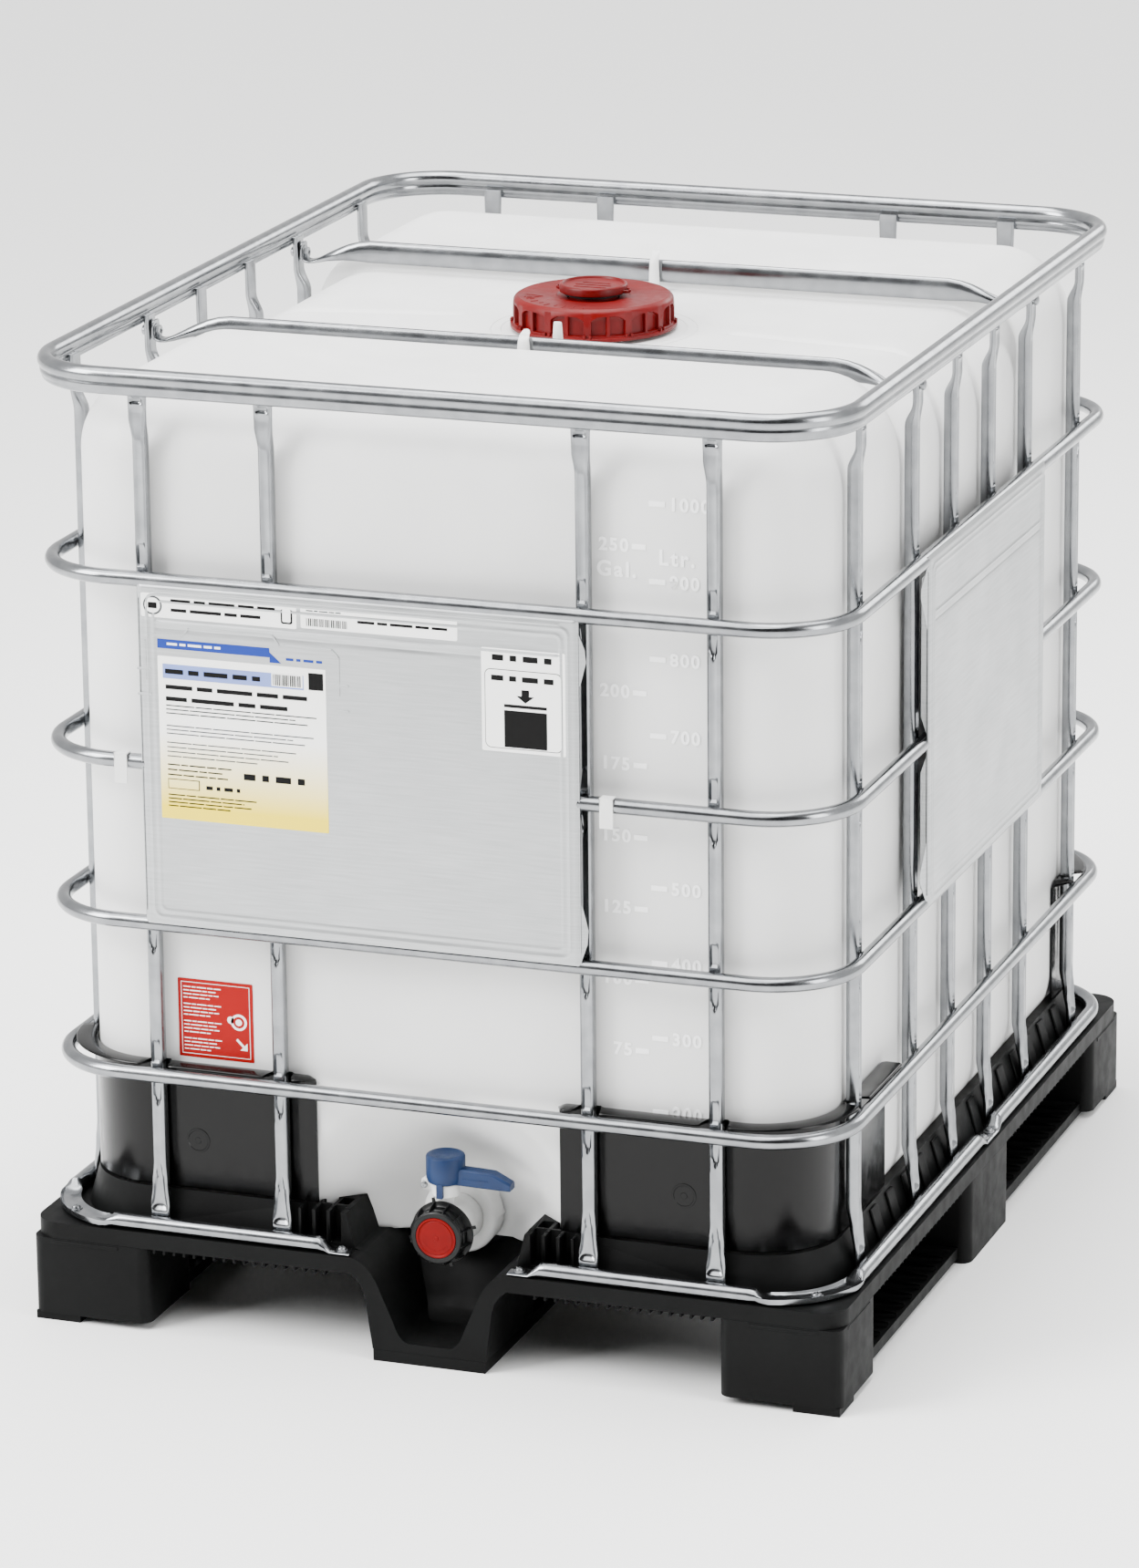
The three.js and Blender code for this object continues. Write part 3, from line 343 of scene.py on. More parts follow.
def blown_polyethylene():
    """Natural HDPE, blow-moulded: milky, a little light passes in, a soft satin sheen, fine waviness."""
    material, tree, shader, place = start_material(
        "natural_hdpe_blow_moulded", "#E8E8E7", 0.42, IOR=1.54,
        Subsurface_Weight=0.25, Subsurface_Radius=(1.0, 1.0, 0.95), Subsurface_Scale=12 * MM,
    )
    cloud = spread(tree, grain(tree, place, 160, 3), 0, 1)
    vary(tree, shader, "Base Color", blend_colours(tree, cloud, "#DADAD9", "#E3E3E2"))
    vary(tree, shader, "Roughness", spread(tree, grain(tree, place, 45, 3), 0.36, 0.48))
    raise_surface(tree, shader, grain(tree, place, 2.5, 2), 0.05)
    return material


def cage_tube_steel():
    """Galvanised steel tube, drawn and zinc coated: bright lines beside grey bands, faint clouding."""
    material, tree, shader, place = start_material("galvanised_steel_tube", "#86888A", 0.22, 1.0)
    cloud = spread(tree, grain(tree, place, 22, 4), 0, 1)
    vary(tree, shader, "Base Color", blend_colours(tree, cloud, "#7D7F82", "#8F9193"))
    vary(tree, shader, "Roughness", spread(tree, grain(tree, place, 30, 4), 0.16, 0.26))
    raise_surface(tree, shader, grain(tree, place, 9, 1), 0.01)
    return material


def label_sheet_steel():
    """Zinc-coated sheet, rolled and pressed: pale satin metal with fine rolling lines along its length."""
    material, tree, shader, place = start_material("galvanised_steel_sheet", "#B0B2B3", 0.4, 1.0)
    lines = grain(tree, place, 60, 4, stretch=(1.0, 1.0, 24.0))
    colour = blend_colours(tree, spread(tree, lines, 0, 1), "#A9ABAC", "#B7B9BA")
    vary(tree, shader, "Base Color", colour)
    vary(tree, shader, "Roughness", spread(tree, grain(tree, place, 80, 3), 0.34, 0.46))
    raise_surface(tree, shader, lines, 0.006)
    return material


def screw_steel():
    """Clear zinc plate on cold-headed steel: duller than the tubes, with a fine grain."""
    material, tree, shader, place = start_material("zinc_plated_screw_steel", "#8C8E90", 0.34, 1.0)
    vary(tree, shader, "Roughness", spread(tree, grain(tree, place, 4, 3), 0.26, 0.44))
    raise_surface(tree, shader, grain(tree, place, 0.8, 2), 0.02)
    return material


def moulded_plastic(name, colour, shade, roughness, grain_mm, grain_depth, cloud_mm=90, sheen=0.5):
    """A moulded plastic: its two tones, a gloss that wanders a little, and the mould's fine texture."""
    material, tree, shader, place = start_material(
        name, colour, roughness, IOR=1.5, Specular_IOR_Level=sheen,
    )
    tone = spread(tree, grain(tree, place, cloud_mm, 4), 0, 1)
    vary(tree, shader, "Base Color", blend_colours(tree, tone, shade, colour))
    gloss = spread(tree, grain(tree, place, cloud_mm / 4, 3), roughness - 0.06, roughness + 0.06)
    vary(tree, shader, "Roughness", gloss)
    raise_surface(tree, shader, grain(tree, place, grain_mm, 2), grain_depth)
    return material


def printed_paper(name, colour, roughness=0.45, sheen=0.5):
    """Coated label paper or ink on it: flat colour with the faint mottle of a print."""
    material, tree, shader, place = start_material(
        name, colour, roughness, IOR=1.45, Specular_IOR_Level=sheen,
    )
    gloss = spread(tree, grain(tree, place, 9, 3), roughness - 0.05, roughness + 0.05)
    vary(tree, shader, "Roughness", gloss)
    raise_surface(tree, shader, grain(tree, place, 14, 2), 0.03)
    return material


def fading_paper(name, top_colour, low_colour, low_z, high_z):
    """Label paper whose print fades from one colour to the other between two heights."""
    material, tree, shader, place = start_material(name, top_colour, 0.45, IOR=1.45)
    height = add_node(tree, "ShaderNodeSeparateXYZ", {0: place}).outputs["Z"]
    fade = spread(tree, height, 0, 1, low_z * MM, high_z * MM)
    vary(tree, shader, "Base Color", blend_colours(tree, fade, low_colour, top_colour))
    raise_surface(tree, shader, grain(tree, place, 14, 2), 0.03)
    return material


bottle_hdpe = blown_polyethylene()
tube_steel = cage_tube_steel()
sheet_steel = label_sheet_steel()
bolt_steel = screw_steel()
# Recycled HDPE, injection moulded in a sparked tool: near black with a dull, pebbled skin
pallet_hdpe = moulded_plastic("recycled_hdpe_grained", "#080909", "#040404", 0.55, 1.6, 0.1, sheen=0.1)
# Black HDPE, blow-moulded and smooth: deep black with long soft highlights and a slow waviness
guard_hdpe = moulded_plastic("black_hdpe_smooth", "#030303", "#010101", 0.2, 60, 0.05, sheen=0.18)
# Red HDPE, injection moulded: the lid and the plug are satin, deep and a little cloudy
lid_hdpe = moulded_plastic("red_hdpe_moulded", "#620001", "#520001", 0.42, 1.2, 0.03, 40, 0.2)
plug_hdpe = moulded_plastic("red_hdpe_plug", "#600001", "#500001", 0.4, 1.0, 0.03, 25, 0.2)
# Polypropylene, injection moulded: the disc is a brighter, duller red, the lever a satin blue
disc_pp = moulded_plastic("red_polypropylene_disc", "#700000", "#600000", 0.45, 0.9, 0.02, 20, 0.12)
lever_pp = moulded_plastic("blue_polypropylene_lever", "#0A2850", "#082044", 0.45, 0.8, 0.03, 25, 0.3)
# White HDPE of the valve: opaque, whiter and tighter in grain than the bottle
valve_hdpe = moulded_plastic("white_hdpe_valve", "#E6E6E4", "#DCDCDA", 0.42, 1.0, 0.03, 30)
# Black polypropylene of the outlet cap: greyer than the pallet, with a soft shine on its webs
dust_cap_pp = moulded_plastic("black_polypropylene_cap", "#0B0C0C", "#060707", 0.38, 0.9, 0.03, 20, 0.22)
# EPDM rubber of the sealing rings: matt and dark
gasket_rubber = moulded_plastic("black_epdm_rubber", "#101010", "#0A0A0A", 0.75, 0.6, 0.03, 12)
# The bottle's raised scale: the same HDPE, thicker there and so whiter
mark_hdpe = moulded_plastic("raised_scale_hdpe", "#FFFFFF", "#FBFBFB", 0.35, 1.0, 0.02)
# Coated label paper and the inks printed on it: flat colours, a faint mottle, little shine
paper_white = printed_paper("label_paper_white", "#F7F7F5")
ink_blue = printed_paper("label_ink_blue", "#0A2C84", sheen=0.3)
ink_grey_blue = printed_paper("label_ink_grey_blue", "#7386C4")
ink_black = printed_paper("label_ink_black", "#030303", 0.5, 0.15)
ink_grey = printed_paper("label_ink_grey", "#3C3E40", 0.5, 0.3)
ink_red = printed_paper("label_ink_red", "#900202", 0.4, 0.15)


# ---- Bottle ----
GROOVES = (((-422, -19), (-186, 26)), ((170, 20), (407, -12)))
GROOVE_DEPTH, GROOVE_HALF = 3.5, 11
# Above the first height the skin starts to follow the saddle's drop, and from the second it has it all
DROP_START_Z, DROP_END_Z = 900, BOTTLE_Z1 - 60


def groove_depth(x, y):
    """The two shallow stiffening grooves pressed into the well between the cross bars."""
    depth = 0.0
    for (ax, ay), (bx, by) in GROOVES:
        along = ((x - ax) * (bx - ax) + (y - ay) * (by - ay)) / ((bx - ax) ** 2 + (by - ay) ** 2)
        t = min(max(along, 0), 1)
        away = math.hypot(x - ax - t * (bx - ax), y - ay - t * (by - ay))
        depth = max(depth, GROOVE_DEPTH * smooth(1 - away / GROOVE_HALF))
    return depth


def bottle_point(x, y, z):
    """Moves a point of the rounded box to the bottle's skin: saddle, grooves and outlet funnel."""
    if z > DROP_START_Z:
        drop = (BOTTLE_Z1 - SADDLE_FLOOR) * (1 - smooth((abs(y) - SADDLE_HALF + 1) / 13))
        z -= drop * smooth((z - DROP_START_Z) / (DROP_END_Z - DROP_START_Z))
        if z > SADDLE_FLOOR - 6 and abs(y) < 60:
            z -= groove_depth(x, y)
    reach = math.hypot(x, z - OUTLET_Z)
    if y < RECESS_FLOOR_Y + 2 and reach < RECESS_RIM_R + 30:
        slope = (RECESS_FLOOR_Y + HALF_Y) / (RECESS_RIM_R - RECESS_FLOOR_R)
        funnel = RECESS_FLOOR_Y - slope * max(reach - RECESS_FLOOR_R, 0)
        gap = funnel - y
        y += gap * 0.5 + math.sqrt(gap * gap * 0.25 + 9)
        y = min(y, RECESS_FLOOR_Y)
    return (x, y, z)


def bottle_axis(half, stretches):
    """Places across one axis of the bottle, close together at its rounded edges and fine details."""
    inner = half - ROUNDING
    edge = [-inner - ROUNDING * math.tan(math.radians(a)) for a in (45, 37, 29, 21, 13, 6)]
    return edge + mixed_steps(stretches(inner)) + [-e for e in reversed(edge)]


def rounded_box_point(x, y, z, half):
    """A point on a box carried to the same box with its edges rounded."""
    inner = [max(min(v, h - ROUNDING), ROUNDING - h) for v, h in zip((x, y, z), half)]
    out = Vector((x, y, z)) - Vector(inner)
    return Vector(inner) + out.normalized() * ROUNDING


def bottle_skin():
    """The whole bottle: six faces of a rounded box, each carried to the bottle's own shape."""
    half_z = (BOTTLE_Z1 - BOTTLE_Z0) / 2
    half = (HALF_X, HALF_Y, half_z)
    middle_z = BOTTLE_Z0 + half_z
    xs = bottle_axis(HALF_X, lambda i: [(-i, -180, 12), (-180, 180, 6), (180, i, 12)])
    ys = bottle_axis(HALF_Y, lambda i: [
        (-i, -252, 12), (-252, -230, 2), (-230, -42, 9), (-42, 42, 3), (42, 230, 9), (230, 252, 2),
        (252, i, 12),
    ])
    zs = bottle_axis(half_z, lambda i: [(-i, -250, 6), (-250, i, 14)])
    skin = Skin()

    def face(first, second, place):
        rows = [[rounded_box_point(*place(a, b), half) for a in first] for b in second]
        skin.loft([[bottle_point(p.x, p.y, p.z + middle_z) for p in row] for row in rows], around=False)

    for side in (-1, 1):
        face(xs, zs, lambda a, b: (a, side * half[1], b))
        face(ys, zs, lambda a, b: (side * half[0], a, b))
        face(xs, ys, lambda a, b: (a, b, side * half[2]))
    return skin


def threaded_neck(skin):
    """The fill neck: a thick wall with a coarse thread of 7 mm pitch on its outside."""
    sides = 96
    inner, outer, top, pitch = 73, 80, 1132, 7
    thread_start, thread_end = 1110, 1129
    heights = steps(SADDLE_FLOOR - 1, top - 1.5, 1.2)

    def thread(row, side):
        if row >= len(heights):
            return 0
        above, below = heights[row] - thread_start, thread_end - heights[row]
        phase = (above / pitch - side / sides) % 1
        return 1.2 * smooth(1 - abs(phase - 0.5) * 3.4) * smooth(above / 4) * smooth(below / 3)

    outline = [(outer, height) for height in heights]
    outline += [(outer - 1.5, top), (inner + 1, top), (inner, top - 1), (inner, SADDLE_FLOOR + 1)]
    skin.turn(outline, upright_axis(), sides, swell=thread)


def bar_keeper(skin, x, y, height, lean, width, base):
    """A moulded hook beside a cross bar: a tapered post that leans over the bar at its top."""
    rows = []
    for step in range(11):
        t = step / 10
        z = base + (height - base) * math.sin(t * math.pi * 0.5)
        centre = y + lean * smooth((t - 0.45) / 0.55)
        half_x = width * (0.5 - 0.22 * t)
        half_y = 4.2 - 2.0 * t
        tilt = 3 if lean else 0
        rows.append([
            (x + half_x * math.cos(a), centre + half_y * math.sin(a), z + tilt * math.sin(a) * t)
            for a in [math.pi * k / 6 for k in range(12)]
        ])
    skin.loft(rows, capped=True)


def collar_marks(skin):
    """Low concentric steps moulded in the bottle's top round the fill neck."""
    foot, top = SADDLE_FLOOR - 0.5, SADDLE_FLOOR + 0.5
    for r, width in ((112, 1.6), (124, 1.0)):
        outline = [(r - width, foot), (r - width * 0.5, top), (r + width * 0.5, top), (r + width, foot)]
        skin.turn(outline, upright_axis(), 96, closed=True)


shell_nodes = ("bottle", "bottle_top_panel", "bottle_outlet")
make_piece("bottle_shell", bottle_skin(), [bottle_hdpe], shell_nodes, crease=60)

neck = Skin()
threaded_neck(neck)
collar_marks(neck)
stub_root = RECESS_FLOOR_Y + 4
stub = [(25, stub_root), (30, stub_root), (30, -474.5), (29, -476), (25.6, -476), (25, -475)]
neck.turn(stub, outlet_axis, 48, closed=True)
make_piece("bottle_neck_and_stub", neck, [bottle_hdpe])

keepers = Skin()
bar_keeper(keepers, -2, -237, 1148, 9, 17, 1124)
bar_keeper(keepers, 31, -211, 1158, 0, 16, 1102)
bar_keeper(keepers, 2, 215, 1156, 10, 15, 1102)
make_piece("bar_keepers", keepers, [bottle_hdpe], crease=60)

# The litre and gallon scale, raised on the bottle's front between two uprights
LITRE_STEP = 89.2
LITRES_200_Z = 328
GALLONS_250_Z = 991
GALLONS_75_Z = 400


def raised_text(skin, text, x, z, height, align):
    """Generic block figures, raised from the bottle's front."""
    curve = bpy.data.curves.new("figures", "FONT")
    curve.body = text
    curve.align_x = align
    curve.align_y = "CENTER"
    curve.size = height * 1.36
    curve.extrude = 0.8
    curve.space_character = 1.22
    curve.offset = 0.6
    writer = link_object("figures", curve)
    made = writer.evaluated_get(bpy.context.evaluated_depsgraph_get()).to_mesh()
    points = [(x + p.co.x, -HALF_Y - 0.2 - p.co.z, z + p.co.y) for p in made.vertices]
    skin.add(points, [tuple(f.vertices) for f in made.polygons])
    bpy.data.objects.remove(writer)
    bpy.data.curves.remove(curve)


def scale_skin():
    """A bar and a figure for each step of the two scales, and their short headings."""
    skin = Skin()
    gallon_step = (GALLONS_250_Z - GALLONS_75_Z) / 7
    for amounts, low_z, step, bar, figures_x, align in (
        (range(200, 1100, 100), LITRES_200_Z, LITRE_STEP, (262, 281), 286, "LEFT"),
        (range(75, 275, 25), GALLONS_75_Z, gallon_step, (242, 258), 238, "RIGHT"),
    ):
        for place, amount in enumerate(amounts):
            z = low_z + step * place
            skin.block(bar, (-HALF_Y - 0.8, -HALF_Y + 0.5), (z - 3, z + 3))
            raised_text(skin, str(amount), figures_x, z, 15, align)
    raised_text(skin, "Gal.", 200, 963, 18, "LEFT")
    raised_text(skin, "Ltr.", 273, 980, 18, "LEFT")
    return skin


make_piece("volume_scale", scale_skin(), [mark_hdpe], crease=30)


# ---- Corner guards ----
GUARD_WALL = 3.8
GUARD_LIP = 28
UPRIGHT_XS = [sum(box_mm(f"upright_front_{n}")[k].x for k in (0, 1)) / 2 for n in range(1, 5)]
UPRIGHT_YS = [sum(box_mm(f"upright_left_{n}")[k].y for k in (0, 1)) / 2 for n in range(1, 7)]


def guard_skin(node):
    """A smooth shell round one corner, with a lip over the lowest ring that breaks at each upright."""
    low, high = box_mm(node)
    side_x = 1 if high.x > 0 else -1
    side_y = 1 if high.y > 0 else -1
    front_end = low.x if side_x > 0 else -high.x
    side_end = low.y if side_y > 0 else -high.y
    inner_x, inner_y = HALF_X - ROUNDING, HALF_Y - ROUNDING
    path = [(x, HALF_Y, 0.0, 1.0) for x in steps(front_end, inner_x, 3)]
    for step in range(1, 28):
        turn = math.radians(90 - 90 * step / 28)
        nx, ny = math.cos(turn), math.sin(turn)
        path.append((inner_x + ROUNDING * nx, inner_y + ROUNDING * ny, nx, ny))
    path += [(HALF_X, y, 1.0, 0.0) for y in steps(inner_y, side_end, 3)]
    rows = []
    for x, y, nx, ny in path:
        away = 99.0
        if ny == 1.0:
            away = min(abs(x - abs(u)) for u in UPRIGHT_XS)
        if nx == 1.0:
            away = min(abs(y - side_y * u) for u in UPRIGHT_YS)
        ends = min(x - front_end if ny == 1.0 else 99, y - side_end if nx == 1.0 else 99)
        reach = GUARD_WALL + (GUARD_LIP - GUARD_WALL) * smooth((away - 11) / 7) * smooth((ends + 4) / 16)
        top = high.z
        dip = 5 * (1 - smooth((ends + 2) / 12))
        lip = reach - GUARD_WALL
        profile = [
            (0.7, low.z + 1), (1.5, low.z), (3.0, low.z), (GUARD_WALL, low.z + 1.2), (GUARD_WALL, top - 14),
            (GUARD_WALL + 0.1 * lip, top - 6.5), (GUARD_WALL + 0.3 * lip, top - 3.4),
            (reach - 1, top - 2.9), (reach, top - 2.2), (reach - 0.4, top - 0.6), (reach - 1.6, top),
            (min(8, reach - 0.4), top), (2.6, top - 1.4), (0.9, top - 6),
        ]
        row = []
        for offset, z in profile:
            if z > top - 14:
                z -= dip
            row.append((side_x * (x + nx * offset), side_y * (y + ny * offset), z))
        rows.append(row)
    skin = Skin()
    skin.loft(rows, capped=True)
    boss_x, boss_y, boss_z = 300, HALF_Y + GUARD_WALL - 0.2, 232
    boss = [(15, 0), (14.6, 0.7), (12.5, 0.9), (12, 0.3), (4, 0.3), (3.6, 0.8)]
    skin.turn(boss, lambda r, a, h: (
        side_x * (boss_x + r * math.cos(a)), side_y * (boss_y + h), boss_z + r * math.sin(a),
    ), 40)
    return skin


for corner in ("front_left", "front_right", "rear_left", "rear_right"):
    node = f"guard_{corner}"
    make_piece(f"corner_guard_{corner}", guard_skin(node), [guard_hdpe], (node,), crease=50)


# ---- Cage rings ----
def round_section(radius, sides=20):
    """Points of (outward, up) round a round tube."""
    turns = [2 * math.pi * k / sides for k in range(sides)]
    return [(radius * math.cos(turn), radius * math.sin(turn)) for turn in turns]


RIM_R = 10


def ring_skin(z, section):
    """A section of (outward, up) pairs carried round the cage."""
    path = rounded_rectangle(RING_HALF_X, RING_HALF_Y, RING_CORNER, straight=120, corner=18)
    rows = [[(x + nx * out, y + ny * out, z + up) for out, up in section] for x, y, nx, ny in path]
    skin = Skin()
    skin.loft(rows, closed=True)
    return skin


def rim_section():
    """The rim: a large tube with two smaller rolls under it."""
    rolls = ((0, RIM_R), (-11, 7.4), (-16.6, 5.6))
    heights = [RIM_R * math.cos(math.radians(a)) for a in range(0, 106, 7)]
    heights += steps(-4.4, -22.1, 1.0)
    side = []
    for height in heights:
        widths = [math.sqrt(max(r * r - (height - c) ** 2, 0)) for c, r in rolls]
        side.append((max(widths), height))
    return side + [(-w, h) for w, h in reversed(side[1:-1])]


for number, z in enumerate(RING_Z, 2):
    ring = ring_skin(z, round_section(RING_R))
    make_piece(f"cage_ring_{number}", ring, [tube_steel], (f"ring_{number}",), crease=60)
rim = ring_skin(TOP_Z - RIM_R, rim_section())
make_piece("cage_rim", rim, [tube_steel], ("top_ring",), crease=50)


# ---- Uprights ----
# Height, width, thickness, and how far the tube stands out from its straight stretch
UPRIGHT_SHAPE = [
    (127.5, 25, 6, 7.4), (150, 25, 7, 6.9), (178, 20.5, 12, 3.5), (206, 16.6, 16, 0),
    (1072, 16.6, 16, 0), (1100, 22, 8, 6.6), (1139.7, 23.5, 7, 7),
]
FACE_STEPS = 9
FOOT_TOP, HEAD_START = 146, 1070


def flat_sided_section(width, thickness):
    """Points of (across, outward) round a flat-sided tube; the first nine lie on its outer face."""
    corner = min(4.8, thickness / 2 - 0.05)
    a, b = width / 2 - corner, thickness / 2 - corner
    points = [(a * (1 - 2 * k / (FACE_STEPS - 1)), thickness / 2) for k in range(FACE_STEPS)]
    outer, inner = (20, 45, 70), (0, 30, 60, 90)
    corners = ((-a, b, 90, outer), (-a, -b, 180, inner), (a, -b, 270, inner), (a, b, 0, outer))
    for ca, cb, start, turns in corners:
        for turn in turns:
            angle = math.radians(start + turn)
            points.append((ca + corner * math.cos(angle), cb + corner * math.sin(angle)))
    return points


def dent(depth, across, start, end):
    """A dent's depth at a place, from how far inside it lies across the tube and from each end."""
    return depth * smooth(across) * smooth(start) * smooth(end)


def dent_depth(across, z):
    """How far the outer face is pressed in: a groove down it, and a spoon dent above and below each ring."""
    a = abs(across)
    depth = 1.3 * smooth(1.2 - a / 5) if 215 < z < 1070 else 0.0
    for ring in RING_Z:
        above, below = z - ring - RING_R - 2, ring - RING_R - 2 - z
        if 0 < above < 34:
            half = 6.4 * math.sqrt(max(1 - (above / 34) ** 2, 0.0)) + 0.2
            depth = max(depth, dent(4.2, 1.5 - a / half, above / 3, (34 - above) / 12))
        if 0 < below < 36:
            half = 6.6 * (1 - below / 38) + 0.3
            depth = max(depth, dent(4.4, 1.5 - a / half, below / 3, (36 - below) / 14))
    if FOOT_TOP < z < 214:  # the long taper over the foot
        half = 10.5 * (1 - (z - FOOT_TOP) / 70) + 0.4
        depth = max(depth, dent(5.0, 1.4 - a / half, (z - FOOT_TOP) / 6, (214 - z) / 30))
    if z < FOOT_TOP:  # the ripples pressed across the foot
        depth = 1.1 * (0.5 + 0.5 * math.cos(across * 2 * math.pi / 7.5)) * smooth((143 - z) / 6)
    if HEAD_START < z:  # the window and the two slots under the rim
        depth = max(depth, dent(1.6, 1.6 - a / 7, (z - HEAD_START) / 20, (1116 - z) / 6))
        depth = max(depth, dent(2.4, 3.2 - a / 2.2, (z - 1117) / 1.5, (1125 - z) / 1.5))
        depth = max(depth, dent(2.4, 2 - abs(a - 4.2) / 1.4, (z - 1127) / 1.5, 1))
    return depth


def upright_heights():
    """Heights along an upright, close together where it is pressed."""
    heights = mixed_steps([(127.5, 150, 2.8), (150, 214, 4)])
    for ring in sorted(RING_Z):
        heights += steps(ring - RING_R - 40, ring - RING_R - 2, 3.2)
        heights += steps(ring + RING_R + 2, ring + RING_R + 38, 3.2)
    return heights + mixed_steps([(1068, 1114, 4), (1114, 1139.7, 1.4)])


def upright_skin(x, y, out_x, out_y):
    """One upright: its section carried up the cage, with the dents pressed in its outer face."""
    rows = []
    for z in upright_heights():
        width, thickness, outset = between(UPRIGHT_SHAPE, z)
        row = []
        for place, (across, outward) in enumerate(flat_sided_section(width, thickness)):
            press = min(dent_depth(across, z), thickness - 1.5) if place < FACE_STEPS else 0
            reach = outset + outward - press
            row.append((x + out_x * reach - out_y * across, y + out_y * reach + out_x * across, z))
        rows.append(row)
    skin = Skin()
    skin.loft(rows, capped=True)
    return skin


places = [
    (f"upright_{row_name}_{number}", x, side * UPRIGHT_HALF_Y, 0, side)
    for number, x in enumerate(UPRIGHT_XS, 1) for row_name, side in (("front", -1), ("rear", 1))
] + [
    (f"upright_{row_name}_{number}", side * UPRIGHT_HALF_X, y, side, 0)
    for number, y in enumerate(UPRIGHT_YS, 1) for row_name, side in (("left", -1), ("right", 1))
]
for node, *place in places:
    make_piece(f"cage_{node}", upright_skin(*place), [tube_steel], (node,), crease=38)


# ---- Base tube ----
FLAT_END = 30
CORNER_DISH = 70


def base_section(flat, dish):
    """A round tube's section, pressed flat at its ends or into a rimmed dish at a screwed corner."""
    points = []
    for k in range(24):
        turn = 2 * math.pi * k / 24
        c, s = math.cos(turn), math.sin(turn)
        rim = 5.5 * abs(c) ** 5
        dish_up = 1.6 * s - 5.6 + rim if s >= 0 else -BASE_R + 1.2 * rim * 0.3 + 1.4 * (1 + s)
        points.append(tuple(
            whole + (pressed - whole) * flat + (dished - whole) * dish
            for whole, pressed, dished in (
                (BASE_R * c, 1.08 * BASE_R * c, 12.4 * c),
                (BASE_R * s, 2.0 * s - BASE_R + 2.0, dish_up),
            )
        ))
    return points


def base_path(start, end):
    """Part of the loop round the pallet's rim, from one place of (x, y) to another, anticlockwise."""
    loop = rounded_rectangle(BASE_HALF_X, BASE_HALF_Y, RING_CORNER, straight=7, corner=20)
    first, last = (
        min(range(len(loop)), key=lambda i: math.hypot(loop[i][0] - x, loop[i][1] - y))
        for x, y in (start, end)
    )
    if last <= first:
        last += len(loop)
    path = [loop[i % len(loop)] for i in range(first, last + 1)]
    path[0] = (*start, *path[0][2:])
    path[-1] = (*end, *path[-1][2:])
    return path


def base_tube(name, start, end, dish_corner):
    """One length of the base tube, flat at both ends and dished at its corner for a screw."""
    path = base_path(start, end)
    lengths = [0.0]
    for (ax, ay, _, _), (bx, by, _, _) in zip(path, path[1:]):
        lengths.append(lengths[-1] + math.hypot(bx - ax, by - ay))
    middle = None
    if dish_corner:
        arc = [i for i, p in enumerate(path) if abs(p[2]) > 0.6 and abs(p[3]) > 0.6]
        middle = lengths[arc[len(arc) // 2]]
    rows = []
    for (x, y, nx, ny), at in zip(path, lengths):
        flat = 1 - smooth((min(at, lengths[-1] - at) - FLAT_END + 6) / 14)
        dish = smooth((CORNER_DISH - abs(at - middle)) / 12) if middle is not None else 0
        rows.append([(x + nx * out, y + ny * out, BASE_Z + up) for out, up in base_section(flat, dish)])
    skin = Skin()
    skin.loft(rows, capped=True)
    make_piece(f"cage_{name}", skin, [tube_steel], (name,), crease=45)


def pan_screw(skin, x, y, z, radius):
    """A pan-head screw on a washer, with a cross recess pressed in its head."""
    place = upright_axis(x, y)
    washer = z + 1.2
    skin.turn([(radius + 2, z), (radius + 2, z + 0.9), (radius + 1.4, washer), (AXIS, washer)], place, 24)
    dome = [(radius, washer), (radius, z + 2.4), (radius * 0.86, z + 3.6), (radius * 0.55, z + 4.3)]
    skin.turn(dome + [(AXIS, z + 4.5)], place, 24)
    for half_x, half_y in ((3.2, 0.7), (0.7, 3.2)):
        skin.block((x - half_x, x + half_x), (y - half_y, y + half_y), (z + 3.9, z + 4.75))


FRONT_END = -base_high.x
SIDE_JOINT = base_high.y
base_tube("base_tube_left", (-BASE_HALF_X, SIDE_JOINT), (-FRONT_END, -BASE_HALF_Y), True)
base_tube("base_tube_right", (FRONT_END, -BASE_HALF_Y), (BASE_HALF_X, SIDE_JOINT), True)
base_tube("base_tube_rear", (BASE_HALF_X, SIDE_JOINT + 1), (-BASE_HALF_X, SIDE_JOINT + 1), False)

base_screws = Skin()
flat_top = BASE_Z - BASE_R + 4
corner_in = RING_CORNER * (1 - math.sqrt(0.5))
for side in (-1, 1):
    for x, y, z, radius in (
        (FRONT_END + 12, -BASE_HALF_Y, flat_top, 4.6), (BASE_HALF_X, SIDE_JOINT - 12, flat_top, 4.6),
        (BASE_HALF_X, SIDE_JOINT + 13, flat_top, 4.6),
        (BASE_HALF_X - corner_in, corner_in - BASE_HALF_Y, BASE_Z - 4.2, 5.4),
    ):
        pan_screw(base_screws, side * x, y, z, radius)
make_piece("base_screws", base_screws, [bolt_steel], crease=35)


# ---- Cross bars ----
BAR_Y, BAR_BOLT_Y, BAR_BOLT_Z = 226, 234, 1120
TAB_INNER_X, TAB_OUTER_X = 465, 479.6
